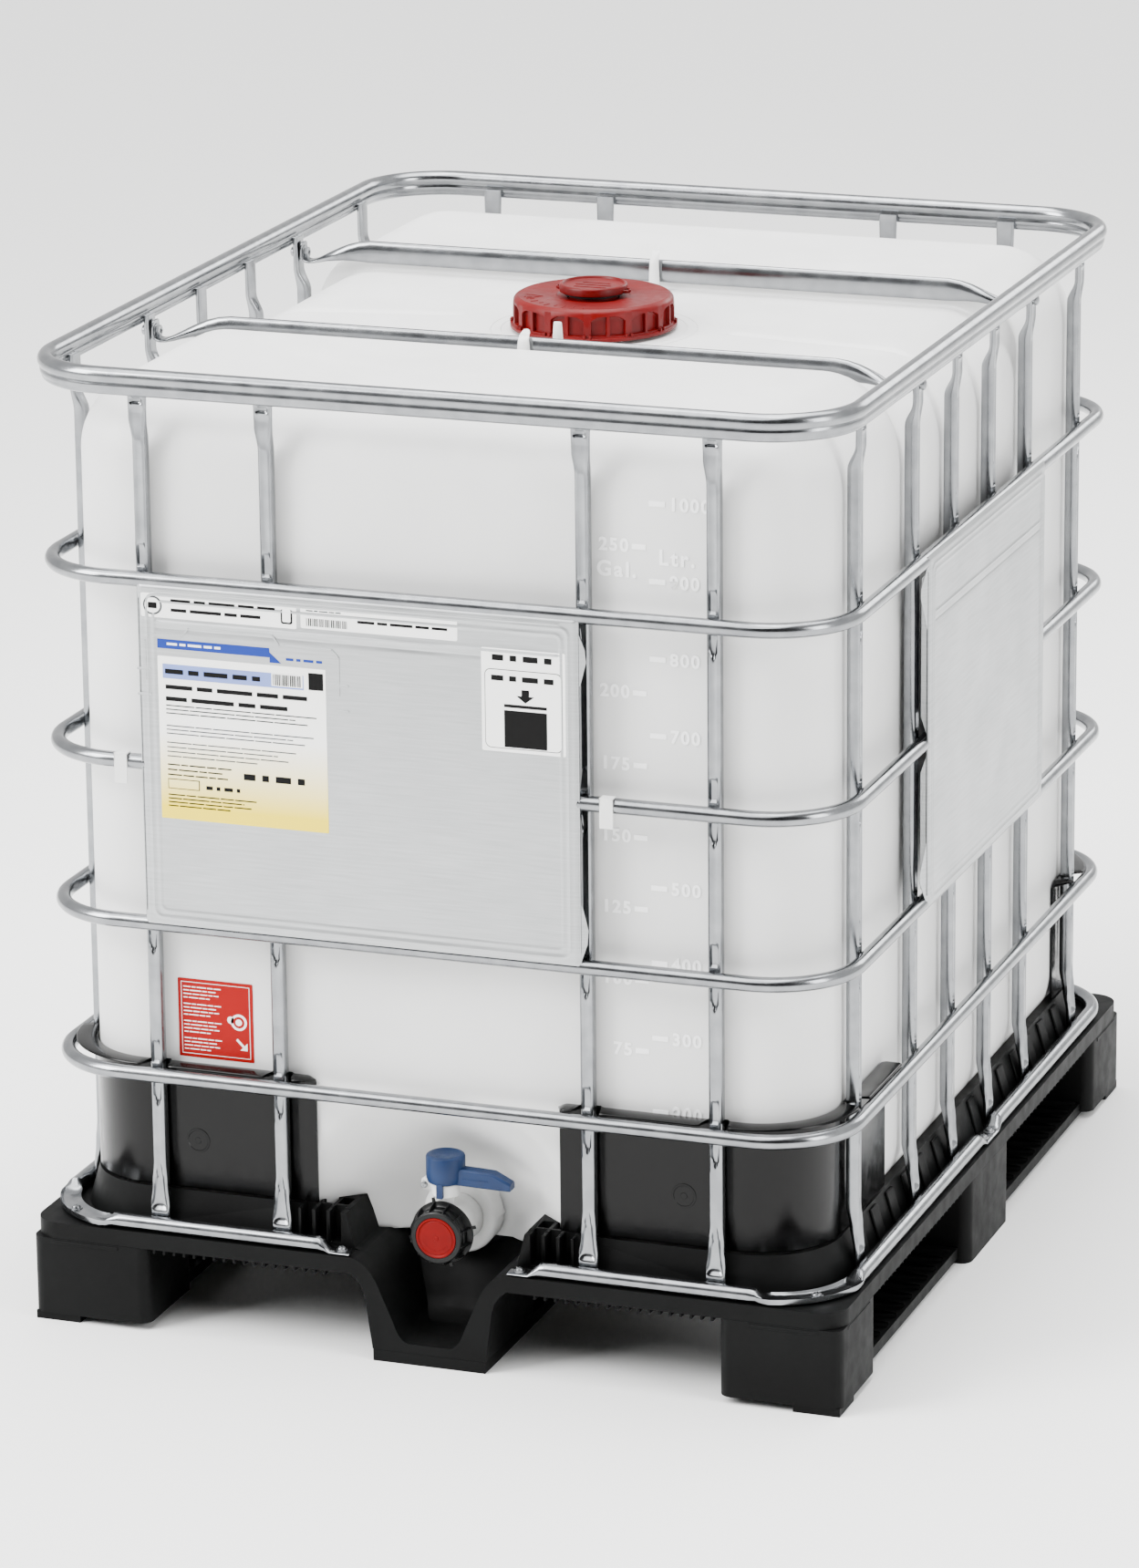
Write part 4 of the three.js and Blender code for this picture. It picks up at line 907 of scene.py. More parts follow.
# Place along X, height, thickness in the bend's plane, and width across it, from bar to tab
BAR_END = [
    (374, 1127.6, 28, 12), (388, 1127, 25.5, 13), (401, 1125.4, 21.5, 15), (413, 1122.8, 17, 17.5),
    (424, 1119.6, 12.8, 19.5), (434, 1116.2, 9.4, 20.6), (443, 1112.9, 6.8, 21.2), (451, 1110.5, 5.2, 21.5),
    (458, 1109.3, 4.2, 21.8), (462.5, 1109.9, 3.6, 22), (465.8, 1111.8, 3.3, 22),
    (467.4, 1115.5, 3, 22), (467.6, 1124, 3, 22), (467.6, 1131, 3, 20), (467.6, 1133, 3, 14),
]


def cross_bar_skin(side_y):
    """An oval bar whose ends are pressed flat, bent down to a foot and up to a bolted tab."""
    places = [(-x, *rest) for x, *rest in reversed(BAR_END)] + BAR_END
    rows = []
    for number, (x, z, tall, wide) in enumerate(places):
        before = places[max(number - 1, 0)]
        after = places[min(number + 1, len(places) - 1)]
        along = Vector((after[0] - before[0], 0, after[1] - before[1])).normalized()
        up = Vector((-along.z, 0, along.x))
        shift = smooth((abs(x) - 418) / 34)
        y = side_y * (BAR_Y + (BAR_BOLT_Y - BAR_Y) * shift)
        up_power, across_power = (1.0, 0.75) if tall > 8 else (0.6, 0.5)
        row = []
        for k in range(28):
            turn = 2 * math.pi * k / 28
            c, s = math.cos(turn), math.sin(turn)
            rise = math.copysign(abs(s) ** up_power, s) * tall / 2
            reach = math.copysign(abs(c) ** across_power, c) * wide / 2
            row.append((x + up.x * rise, y + reach, z + up.z * rise))
        rows.append(row)
    skin = Skin()
    skin.loft(rows, capped=True)
    return skin


def side_axis(x, y, z, out):
    """Places a turned point about a line along X, its height measured outward."""
    return lambda r, a, h: (x + out * h, y + r * math.cos(a), z + r * math.sin(a))


def hex_nut(skin, place, radius, depth):
    """A chamfered hexagon nut on a round washer."""
    sunk = depth - 1.2
    nut = [(radius, 0), (radius, depth - 1), (radius - 1, depth), (3.2, depth), (3.2, sunk), (AXIS, sunk)]
    skin.turn(nut, place, 6)
    skin.turn([(radius + 1.8, -0.8), (radius + 1.8, 0), (AXIS, 0)], place, 24)


def bolt_head(skin, place, radius, depth):
    """A low domed head."""
    dome = [(1, 0), (1, 0.35), (0.9, 0.7), (0.6, 0.94)]
    skin.turn([(radius * wide, depth * rise) for wide, rise in dome] + [(AXIS, depth)], place, 28)


for side_y, row_name in ((-1, "front"), (1, "rear")):
    node = f"cross_bar_{row_name}"
    make_piece(f"cage_{node}", cross_bar_skin(side_y), [tube_steel], (node,), crease=50)
    for side_x, end_name in ((-1, "left"), (1, "right")):
        node = f"bar_bolt_{row_name}_{end_name}"
        inner, outer = sorted(abs(corner.x) for corner in box_mm(node))
        y = side_y * BAR_BOLT_Y
        bolt = Skin()
        hex_nut(bolt, side_axis(side_x * TAB_INNER_X, y, BAR_BOLT_Z, -side_x), 7.2, TAB_INNER_X - inner)
        bolt_head(bolt, side_axis(side_x * TAB_OUTER_X, y, BAR_BOLT_Z, side_x), 6.6, outer - TAB_OUTER_X)
        make_piece(node.replace("bar_", "cage_"), bolt, [bolt_steel], (node,), crease=30)


# ---- Fill lid ----
LID_SECTORS = 12
LID_R = cap_high.x - 3.5
LID_FLANGE_R = cap_high.x
LID_Z0, LID_Z1 = cap_low.z, cap_high.z
PANEL_DEPTH = 5.0
# Angles across one panel, from the middle of one post to just short of the next
HALF_PANEL = (1.1, 1.5, 2.8, 5.6, 8.4, 11.2, 12.0, 12.4)
PANEL_TURNS = (-15, *(-turn for turn in reversed(HALF_PANEL)), *HALF_PANEL)


def lid_column(local):
    """The lid's outline as (radius, height) pairs, at an angle within one panel."""
    foot, top = LID_Z0 + 5, LID_Z1
    arch = top - 9 - 5.5 * (abs(local) / 12.2) ** 4
    depth = PANEL_DEPTH if 1.2 < abs(local) < 12.2 else 0.0
    panel_foot, panel_steps = foot + 2.2, 9
    return [
        (LID_FLANGE_R - 15, LID_Z0), (LID_FLANGE_R - 0.6, LID_Z0), (LID_FLANGE_R, LID_Z0 + 0.8),
        (LID_FLANGE_R, foot - 1.4), (LID_FLANGE_R - 0.6, foot - 0.6), (LID_R, foot),
        (LID_R, foot + 1.4), (LID_R - depth, panel_foot),
        *((LID_R - depth, panel_foot + (arch - foot - 2.2) * k / panel_steps) for k in range(1, panel_steps)),
        (LID_R - depth * 0.9, arch), (LID_R - 0.2, arch + 1.0),
        (LID_R - 0.9, top - 4.6), (LID_R - 2.6, top - 2.2), (LID_R - 5, top - 0.7),
        (LID_R - 6.4, top), (LID_R - 8.2, top - 0.5),
        (53, top - 0.5), (51.5, top - 1.4), (44, top - 1.4), (43, top - 2.4),
        (33, top - 2.4), (32.2, top - 3), (31.2, top - 3.6), (31.2, top - 9.4), (81.8, top - 9.4),
        (81.8, LID_Z0),
    ]


def lid_skin():
    """A cap whose wall has arched panels, each split by a rib, between broad posts."""
    columns = []
    for sector in range(LID_SECTORS):
        for local in PANEL_TURNS:
            turn = math.radians(sector * 360 / LID_SECTORS + local)
            columns.append([upright_axis()(r, turn, h) for r, h in lid_column(local)])
    skin = Skin()
    skin.loft(columns, closed=True)
    for sector in range(LID_SECTORS):
        turn = math.radians(sector * 360 / LID_SECTORS + 15)
        for offset in (-0.035, 0.035):
            x, y, z = upright_axis()(LID_FLANGE_R - 1.6, turn + offset, LID_Z0 + 4)
            skin.block((x - 1.5, x + 1.5), (y - 1.5, y + 1.5), (z, LID_Z0 + 8.2))
    return skin


def lid_marks(skin):
    """Low raised marks moulded in the lid's top: a plain triangle frame and short index bars."""
    top = LID_Z1 - 0.9
    corners = [(13 * math.cos(a) - 66, 13 * math.sin(a) - 34) for a in (0.4, 0.4 + 2.094, 0.4 + 4.189)]
    for (ax, ay), (bx, by) in zip(corners, corners[1:] + corners[:1]):
        raised_bar(skin, ax, ay, bx, by, 1.3, top, 1.0)
    for step in range(10):
        turn = math.radians(200 + 9 * step)
        reach = 84 if step % 2 else 80
        points = [(r * math.cos(turn), r * math.sin(turn)) for r in (74, reach)]
        raised_bar(skin, *points[0], *points[1], 1.1, top, 0.9)


def raised_bar(skin, ax, ay, bx, by, width, z, height):
    """A low straight bar on a level face."""
    run = math.hypot(bx - ax, by - ay)
    nx, ny = -(by - ay) / run * width / 2, (bx - ax) / run * width / 2
    outline = [(ax + nx, ay + ny), (ax - nx, ay - ny), (bx - nx, by - ny), (bx + nx, by + ny)]
    skin.push(outline, lambda a, b, d: (a, b, z + d), height)


lid = lid_skin()
lid_marks(lid)
make_piece("fill_lid", lid, [lid_hdpe], ("fill_cap",), "fill_cap", 0.35, 32)

PLUG_R = 40.5
RIM_Z = plug_high.z - 10.2


def plug_skin():
    """The dished centre plug: a rim with flats round its side, a sunk plate and a threaded shank."""
    top = plug_high.z
    outline = [
        (29.4, plug_low.z), (29.4, RIM_Z), (PLUG_R - 1.2, RIM_Z), (PLUG_R, RIM_Z + 0.8),
        (PLUG_R + 0.3, top - 2.4),
        (PLUG_R - 0.5, top - 0.7), (PLUG_R - 1.6, top), (PLUG_R - 3.0, top), (PLUG_R - 3.8, top - 0.8),
        (PLUG_R - 4.4, top - 2.6), (PLUG_R - 5.4, top - 3.2), (16, top - 3.2), (AXIS, top - 3.2),
    ]
    skin = Skin()
    skin.turn(
        outline, upright_axis(), 96, swell=lambda row, side: 0.28 if 2 < row < 5 and side % 8 == 0 else 0
    )
    skin.coil(upright_axis(), 29.2, plug_low.z + 1.4, 2.3, 3, ((0, -0.8), (0.9, 0), (0, 0.8)))
    for side in (-1, 1):
        loop = []
        for step in range(17):
            turn = math.pi * step / 16 - math.pi / 2
            x = side * (PLUG_R - 2 + 7.6 * math.cos(turn))
            y = 6.6 * math.sin(turn)
            loop.append([
                (x + side * 1.1 * math.cos(a) * math.cos(turn), y + 1.1 * math.cos(a) * math.sin(turn),
                 RIM_Z + 2.6 + 2.0 * math.sin(a))
                for a in [math.pi * k / 4 for k in range(8)]
            ])
        skin.loft(loop, capped=True)
    for y, length in ((12, 34), (0, 44), (-12, 40)):
        raised_bar(skin, -length / 2, y, length / 2, y, 2.2, top - 3.4, 0.7)
    return skin


make_piece(
    "centre_plug_dished", plug_skin(), [plug_hdpe], ("centre_plug",), "centre_plug", crease=38
)


def ring_gasket(name, node, axis_place, along, inner, body=BODY):
    """A flat rubber ring with rounded edges, as large as its node along one axis (0 to 2)."""
    low, high = box_mm(node)
    outer, low, high = high.x, low[along], high[along]
    edge = min(0.5, (high - low) / 4)
    outline = [(inner, low + edge), (inner + edge, low), (outer - edge, low), (outer, low + edge),
               (outer, high - edge), (outer - edge, high), (inner + edge, high), (inner, high - edge)]
    skin = Skin()
    skin.turn(outline, axis_place, 64, closed=True)
    make_piece(name, skin, [gasket_rubber], (node,), body, crease=50)


ring_gasket("lid_gasket", "fill_cap_gasket", upright_axis(), 2, 73, "fill_seal")
ring_gasket("plug_ring", "plug_gasket", upright_axis(), 2, 30.5, "plug_seal")
ring_gasket("spout_ring", "dust_cap_seal", outlet_axis, 1, 24, "dust_seal")
ring_gasket("outlet_ring", "outlet_gasket", outlet_axis, 1, 25)


# ---- Outlet valve ----
NUT_R = nut_high.x
STEM_Y = -536
HUB_R = 23
HUB_Z0, HUB_Z1 = 207, lever_high.z


def union_nut_skin():
    """The white union nut: a broad smooth collar with a rounded rim and shallow grip ribs at its back."""
    front, back = nut_low.y, nut_high.y
    outline = [
        (33.2, back), (NUT_R - 1.5, back), (NUT_R, back - 1.5), (NUT_R - 0.2, front + 5),
        (NUT_R - 1.4, front + 2),
        (NUT_R - 4, front + 0.3), (NUT_R - 7, front), (31, front), (29.5, front + 0.8), (29.5, -486.6),
        (33.2, -486.6),
    ]
    skin = Skin()
    skin.turn(
        outline, outlet_axis, 120, closed=True,
        swell=lambda row, side: -1.5 if row in (1, 2) and side % 10 > 1 else 0,
    )
    return skin


make_piece("union_nut_collar", union_nut_skin(), [valve_hdpe], ("union_nut",), crease=40)


def valve_body_skin():
    """The white butterfly body: barrel, spout with a coarse thread, stem collar and the locking ear."""
    front = spout_low.y
    outline = [
        (32.2, -486.8), (32.2, -479.2), (24.2, -479.2), (24.2, front + 0.6), (24.8, front), (26.6, front),
        (27.2, front + 0.8), (27.2, -548.5), (28.6, -547), (29, -545.5), (29, -512), (28.6, -511),
        (28.6, -505),
        (29, -504), (29, -487.6),
    ]
    skin = Skin()
    skin.turn(outline, outlet_axis, 72, closed=True)
    skin.coil(
        outlet_axis, 27, front + 3.4, 6, 2, ((0, -1.1), (1, -0.3), (1, 0.3), (0, 1.1)),
        height=lambda step: 0.9 * smooth(step / 6) * smooth((2 * COIL_SIDES - step) / 6),
    )
    collar = [
        (10.2, 172), (10.2, 188.5), (12, 190.2), (15.4, 191), (16.4, 192.2), (16.4, 205.2),
        (15.6, 206.3), (6, 206.4),
        (6, 172),
    ]
    skin.turn(collar, upright_axis(0, STEM_Y), 48, closed=True)
    ear = [(-12, 191.5), (-31, 191.5), (-33.6, 193.6), (-34, 197), (-33.4, 203.4), (-30.4, 206.2)]
    ear.append((-12, 206.2))
    skin.push(ear, lambda a, b, d: (a, -528.8 + d, b), 7.6)
    web = [(-24, 160), (-19, 160), (-19, 192), (-24, 192)]
    skin.push(web, lambda a, b, d: (a, -527 + d, b), 4)
    return skin


make_piece("valve_barrel", valve_body_skin(), [valve_hdpe], ("valve_body",), BODY, 0.3, 35)


def security_screw_skin():
    """The small cross-recessed screw that locks the lever's ear."""
    x, z = (screw_low.x + screw_high.x) / 2, (screw_low.z + screw_high.z) / 2
    head = (screw_high.x - screw_low.x) / 2
    front = screw_low.y
    skin = Skin()
    outline = [
        (2, screw_high.y), (2, front + 3.6), (head, front + 3.6), (head, front + 1.6),
        (head * 0.8, front + 0.5),
        (head * 0.45, front), (AXIS, front),
    ]
    skin.turn(outline, lambda r, a, h: (x + r * math.cos(a), h, z + r * math.sin(a)), 24)
    for wide, tall in ((2.4, 0.6), (0.6, 2.4)):
        skin.block((x - wide, x + wide), (front - 0.05, front + 0.6), (z - tall, z + tall))
    return skin


make_piece("locking_screw", security_screw_skin(), [bolt_steel], ("security_screw",), crease=30)


def flap_skin():
    """The butterfly disc, thick at its middle and thin at its edge, on its stem."""
    skin = Skin()
    half = [(AXIS, 4.2), (6, 4.0), (14, 2.4), (22, 1.3), (23.2, 0.6)]
    disc = [(r, -h) for r, h in half] + half[::-1]
    skin.turn(disc, lambda r, a, h: (r * math.cos(a), STEM_Y + h, OUTLET_Z + r * math.sin(a)), 56)
    stem_low = box_mm("valve_flap")[0].z
    skin.turn([(4.9, stem_low), (4.9, HUB_Z1 - 14.2)], upright_axis(0, STEM_Y), 24)
    return skin


make_piece("butterfly_flap", flap_skin(), [valve_hdpe], ("valve_flap",), "lever", crease=40)


def lever_skin():
    """The blue lever: a domed hub, a tapering blade with a bevelled tip, and a stop finger."""
    reach = lever_high.x
    hub = [
        (5.4, HUB_Z0), (HUB_R - 5, HUB_Z0), (HUB_R - 1.6, HUB_Z0 + 1.6), (HUB_R - 0.3, HUB_Z0 + 6),
        (HUB_R, HUB_Z0 + 9),
        (HUB_R, HUB_Z1 - 3), (HUB_R - 0.8, HUB_Z1 - 1.2), (HUB_R - 2.6, HUB_Z1 - 0.2), (HUB_R - 5, HUB_Z1),
        (HUB_R - 6, HUB_Z1 - 0.5), (AXIS, HUB_Z1 - 0.3),
    ]
    skin = Skin()
    skin.turn(hub, upright_axis(0, STEM_Y), 56)
    blade = []
    for x, low_z, high_z, back, front in (
        (4, HUB_Z0 + 0.4, HUB_Z0 + 20.5, 7.4, 12.5), (20, HUB_Z0 + 0.2, HUB_Z0 + 20, 7.2, 11.4),
        (40, HUB_Z0 - 0.2, HUB_Z0 + 19.6, 7, 11), (61, HUB_Z0 - 0.6, HUB_Z0 + 18.8, 6.8, 10.6),
        (reach - 0.8, HUB_Z0 - 0.9, HUB_Z0 + 8.6, 6.4, 10.2), (reach, HUB_Z0 - 0.4, HUB_Z0 + 7.8, 5.8, 9.6),
    ):
        b, f, chamfer = STEM_Y + back, STEM_Y - front, 2.2
        blade.append([
            (x, f + 0.8, low_z), (x, f, low_z + 1.2), (x, f, high_z - chamfer), (x, f + chamfer, high_z),
            (x, b - chamfer, high_z), (x, b, high_z - chamfer), (x, b, low_z + 1.2), (x, b - 0.8, low_z),
        ])
    skin.loft(blade, capped=True)
    finger = [(-4, 192.4), (3.2, 192.4), (4, 193.4), (4, HUB_Z0 + 3), (-4, HUB_Z0 + 3)]
    skin.push(finger, lambda a, b, d: (a, STEM_Y - 22.4 + d, b), 4.8)
    for y in (STEM_Y - 11.2, STEM_Y + 7.1):
        skin.block((24, 56), (y - 0.5, y + 0.5), (HUB_Z0 + 8.4, HUB_Z0 + 9.6))
    return skin


make_piece("valve_lever", lever_skin(), [lever_pp], ("lever",), "lever", 0.5, 32)

DUST_RIBS = 12


def dust_cap_skin():
    """The black outlet cap: a stepped cup with thin webs, a back flange and small grip tabs."""
    f, b = dust_low.y, dust_high.y
    cup = [
        (24.9, f + 2.8), (24.9, f + 0.5), (25.3, f), (30, f), (31.4, f + 1.2), (31.8, f + 4.4),
        (30.2, f + 5.2),
        (30.2, f + 10), (31.6, f + 11), (31.8, b - 5), (34, b - 3.4), (37.4, b - 2.6), (37.9, b - 1.6),
        (37.9, b - 0.5),
        (37.2, b), (28.8, b), (28.8, f + 3.6), (25.2, f + 3.4),
    ]
    skin = Skin()
    skin.turn(cup, outlet_axis, 96, closed=True)
    for rib in range(DUST_RIBS):
        turn = 2 * math.pi * (rib + 0.5) / DUST_RIBS
        c, s = math.cos(turn), math.sin(turn)
        web = [(30, f + 1.2), (32.6, f + 1.2), (34.6, f + 5), (37.4, b - 4.6), (37.9, b - 2), (30, b - 2)]
        tab = [(36, b - 3.4), (42.2, b - 2.6), (43, b - 1.4), (36, b - 0.4)]
        for outline, half in ((web, 0.8), (tab, 2)) if rib % 3 == 0 else ((web, 0.8),):
            skin.push(outline, lambda r, y, d: (
                r * c - (d - half) * s, y, OUTLET_Z + r * s + (d - half) * c,
            ), 2 * half)
    return skin


cap = dust_cap_skin()
make_piece("outlet_cap", cap, [dust_cap_pp], ("dust_cap",), "dust_cap", 0.25, 35)


def disc_skin():
    """The red disc in the cap's face, with a raised rim, a sunk ring and a centre spot."""
    f = disc_low.y
    outline = [
        (24.3, disc_high.y), (24.5, f + 0.8), (24.2, f + 0.2), (23.4, f), (22.4, f), (21.8, f + 0.6),
        (21.2, f + 1.3),
        (20.4, f + 1.3), (19.8, f + 0.9), (3.2, f + 0.9), (3, f + 0.6), (2.4, f + 0.5), (AXIS, f + 0.5),
    ]
    skin = Skin()
    skin.turn(outline, outlet_axis, 72)
    for step in range(9):
        turn = math.radians(214 + 14 * step)
        x, z = 15.5 * math.cos(turn), OUTLET_Z + 15.5 * math.sin(turn)
        skin.block((x - 0.8, x + 0.8), (f + 0.5, f + 1.2), (z - 0.8, z + 0.8))
    return skin


disc = disc_skin()
make_piece("outlet_cap_disc", disc, [disc_pp], ("dust_cap_disc",), "dust_cap", crease=30)


# ---- Pallet ----
def mirrored(side, near, far):
    """A pair of places on one side of the middle, the lower one first."""
    return sorted((side * near, side * far))


def in_shoulders(point):
    """Whether a point lies on one of the two shoulders that rise beside the trough."""
    x, y, z = point / MM
    return 60 < abs(x) < 176 and -580 < y < -503 and z > 124.5


def round_shoulders(work):
    """Rounds the shoulders' edges, as the mould does."""
    edges = [
        e for e in work.edges
        if all(in_shoulders(v.co) for v in e.verts) and e.calc_face_angle(0) > math.radians(25)
    ]
    bmesh.ops.bevel(
        work, geom=edges, offset=9 * MM, offset_type="OFFSET", segments=4, profile=0.5,
        affect="EDGES", clamp_overlap=True,
    )


def carve_pockets(piece):
    """Cuts the open pockets between the webs of the two shoulders."""
    pockets = Skin()
    for side in (-1, 1):
        for near in (117, 135, 153):
            for y in (-574, -549):
                pockets.block(mirrored(side, near, near + 14), (y, y + 21), (130, 200))
    cutter = link_object("pockets", mesh_of("pockets", pockets))
    cut = piece.modifiers.new("pockets", "BOOLEAN")
    cut.operation = "DIFFERENCE"
    cut.object = cutter
    made = piece.evaluated_get(bpy.context.evaluated_depsgraph_get())
    carved = bpy.data.meshes.new_from_object(made)
    piece.modifiers.clear()
    piece.data = carved
    bpy.data.objects.remove(cutter)


def pallet_part(node, radius, with_shoulders=False):
    """A moulded copy of a CAD node with its flat faces joined and its edges rounded."""
    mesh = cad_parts[node].data.copy()
    mesh.materials.clear()
    mesh.materials.append(pallet_hdpe)
    work = bmesh.new()
    work.from_mesh(mesh)
    bmesh.ops.remove_doubles(work, verts=work.verts, dist=0.02 * MM)
    bmesh.ops.dissolve_limit(work, angle_limit=math.radians(1.5), verts=work.verts, edges=work.edges)
    if with_shoulders:
        round_shoulders(work)
    carve = carve_pockets if with_shoulders else None
    finish_piece(f"{node}_moulded", mesh, work, (node,), BODY, radius, 35, carve=carve)


pallet_part("pallet_deck", 1.6, with_shoulders=True)
for node in ("skid_left", "skid_right", "skid_centre"):
    pallet_part(node, 2.5)

HALF_W, HALF_D = deck_high.x, -deck_low.y
DECK_Z0 = 104
trim = Skin()
# Short drip ribs under the deck's edges
rib_z = (DECK_Z0 - 6, DECK_Z0 + 2)
for side in (-1, 1):
    for x in steps(130, 345, 13):
        trim.block((side * x - 1.6, side * x + 1.6), (-HALF_D + 3, -HALF_D + 26), rib_z)
        trim.block((side * x - 1.6, side * x + 1.6), (HALF_D - 26, HALF_D - 3), rib_z)
    for y in [*steps(-440, -110, 15), *steps(110, 440, 15)]:
        trim.block(mirrored(side, HALF_W - 3, HALF_W - 24), (y - 1.6, y + 1.6), rib_z)
# Lattice of webs on the deck beside the trough
for side in (-1, 1):
    for x in (112, 132, 152, 172):
        trim.block(mirrored(side, x, x + 3), (-HALF_D + 12, -576), (117, 127 + (x - 112) * 0.03))
    for y in (-590, -578):
        trim.block(mirrored(side, 108, 182), (y, y + 2.4), (117, 127))
make_piece("pallet_ribs", trim, [pallet_hdpe], bevel=0.6)

# Broad rounded ribs along the curb that stiffen it over the rim
RIB_WIDTH = 26
RIB_FOOT_Z, RIB_TOP_Z = 123, 165


def curb_rib(skin, face, place):
    """One rib that slopes out from the curb's face; place(out, z, along) gives each point."""
    slope = [(0, RIB_TOP_Z), (3.4, RIB_TOP_Z), (14.4, 129), (16.4, RIB_FOOT_Z), (0, RIB_FOOT_Z)]
    skin.push([(face + out, z) for out, z in slope], place, RIB_WIDTH)


curb_ribs = Skin()
for side in (-1, 1):
    for y in [*steps(-415, -45, 62), *steps(45, 415, 62)]:
        start = y - RIB_WIDTH / 2
        curb_rib(curb_ribs, 459.6, lambda out, z, d: (side * out, start + d, z))
for x in steps(-372, 372, 62):
    start = x - RIB_WIDTH / 2
    curb_rib(curb_ribs, 561.8, lambda out, z, d: (start + d, out, z))
make_piece("curb_ribs", curb_ribs, [pallet_hdpe], bevel=5, segments=4)

# Raised bands that mark the seam between the deck and each corner foot, and webs in the runners
bands = Skin()
for side in (-1, 1):
    for end in (-1, 1):
        path = rounded_rectangle(HALF_W, HALF_D, 32, straight=40, corner=8)
        section = ((-3, -7), (0.9, -6.4), (0.9, -2.4), (-3, -1.8))
        rows = [
            [(x + nx * out, y + ny * out, DECK_Z0 + up) for out, up in section]
            for x, y, nx, ny in path if side * x > 353 and end * y > 465
        ]
        gaps = [math.dist(row[0][:2], before[0][:2]) for before, row in zip(rows, rows[1:])]
        split = next((place for place, gap in enumerate(gaps, 1) if gap > 120), 0)
        rows = rows[split:] + rows[:split]
        bands.loft(rows, capped=True)
    for y in [*steps(-440, -120, 32), *steps(120, 440, 32)]:
        x0, x1 = mirrored(side, 368, 482)
        for lean in (-1, 1):
            near, far = y - lean * 14, y + lean * 14
            outline = [(x0, near), (x0 + 4, near), (x1, far), (x1 - 4, far)]
            bands.push(outline, lambda a, b, d: (a, b, 20 + d), 5)
make_piece("skid_bands_and_webs", bands, [pallet_hdpe], bevel=0.6)


# ---- Label plates ----
def ridge(distance, width):
    """1 along a line, falling to 0 at half the width on both sides."""
    return smooth(1 - abs(distance) / (width / 2))


def frame_distance(a, z, low, high, bottom, top, radius):
    """Distance from a rounded rectangle's outline, negative inside it."""
    ca, cz = (low + high) / 2, (bottom + top) / 2
    da = abs(a - ca) - (high - low) / 2 + radius
    dz = abs(z - cz) - (top - bottom) / 2 + radius
    return math.hypot(max(da, 0), max(dz, 0)) + min(max(da, dz), 0) - radius


def plate_relief(a, z, size, creases):
    """How far the pressed sheet stands out: a double border, creases across it and a soft flat panel."""
    low, high, bottom, top = size
    border = frame_distance(a, z, low + 12, high - 12, bottom + 12, top - 12, 10)
    inner = frame_distance(a, z, low + 20, high - 20, bottom + 20, top - 20, 8)
    relief = ridge(border, 6) + 0.8 * ridge(inner, 5)
    for height, width, depth in creases:
        if low + 20 < a < high - 20:
            fade = smooth((a - low - 20) / 6) * smooth((high - 20 - a) / 6)
            relief += depth * ridge(z - height, width) * fade
    edge = min(a - low, high - a, z - bottom, top - z)
    return relief - 2.2 * (1 - smooth(edge / 5))


def plate_steps(low, high):
    """Places across a plate, close together near its two edges."""
    return mixed_steps([(low, low + 34, 1.7), (low + 34, high - 34, 8), (high - 34, high, 1.7)])


def plate_skin(size, creases, place):
    """A pressed sheet with rolled edges and folded side flanges; place(a, z, out) gives each point."""
    low, high, bottom, top = size
    marks = {round(h + d, 2) for h, w, _ in creases for d in steps(-w / 2, w / 2, 1.5)}
    up = sorted({*plate_steps(bottom, top), *marks})
    face, back = (
        [[place(a, z, plate_relief(a, z, size, creases) - under) for a in plate_steps(low, high)] for z in up]
        for under in (0, SHEET)
    )
    skin = Skin()
    skin.loft(face, around=False)
    skin.loft(back, around=False)
    left, right = ([[row[end] for row in sheet] for sheet in (face, back)] for end in (0, -1))
    for edge in (left, right, [face[0], back[0]], [face[-1], back[-1]]):
        skin.loft(edge, around=False)
    hook = RING_Z[1]
    flange = [
        (bottom + 18, -2), (bottom + 26, -9.4), (hook - 34, -9.8), (hook - 14, -3.2), (hook + 14, -3.2),
        (hook + 34, -9.8), (top - 26, -9.4), (top - 18, -2), (top - 18, -0.8), (bottom + 18, -0.8),
    ]
    for edge, sign in ((low, 1), (high, -1)):
        skin.push(flange, lambda z, out, d: place(edge + sign * d, z, out), SHEET)
    return skin


SHEET = 1.1
front_low, front_high = box_mm("label_plate_front")
side_low, side_high = box_mm("label_plate_side")
FRONT_FACE = front_low.y + 1.4
SIDE_FACE = side_high.x - 1.4


def on_front(a, z, out):
    """A place across the front, a height and how far it stands out, as a point."""
    return (a, FRONT_FACE - out, z)


def on_side(a, z, out):
    """The same on the right side."""
    return (SIDE_FACE + out, a, z)


band, side_top = front_high.z, side_high.z
for where, size, creases, place in (
    ("front", (front_low.x, front_high.x, front_low.z, band),
     [(band - 44, 5, 0.9), (band - 52, 4, -0.7), (band - 8, 5, 0.7)], on_front),
    ("side", (side_low.y, side_high.y, side_low.z, side_top),
     [(side_top - 70, 5, 0.9), (side_top - 80, 4, -0.8)], on_side),
):
    node = f"label_plate_{where}"
    plate = plate_skin(size, creases, place)
    make_piece(f"{node}_pressed", plate, [sheet_steel], (node,), crease=38)

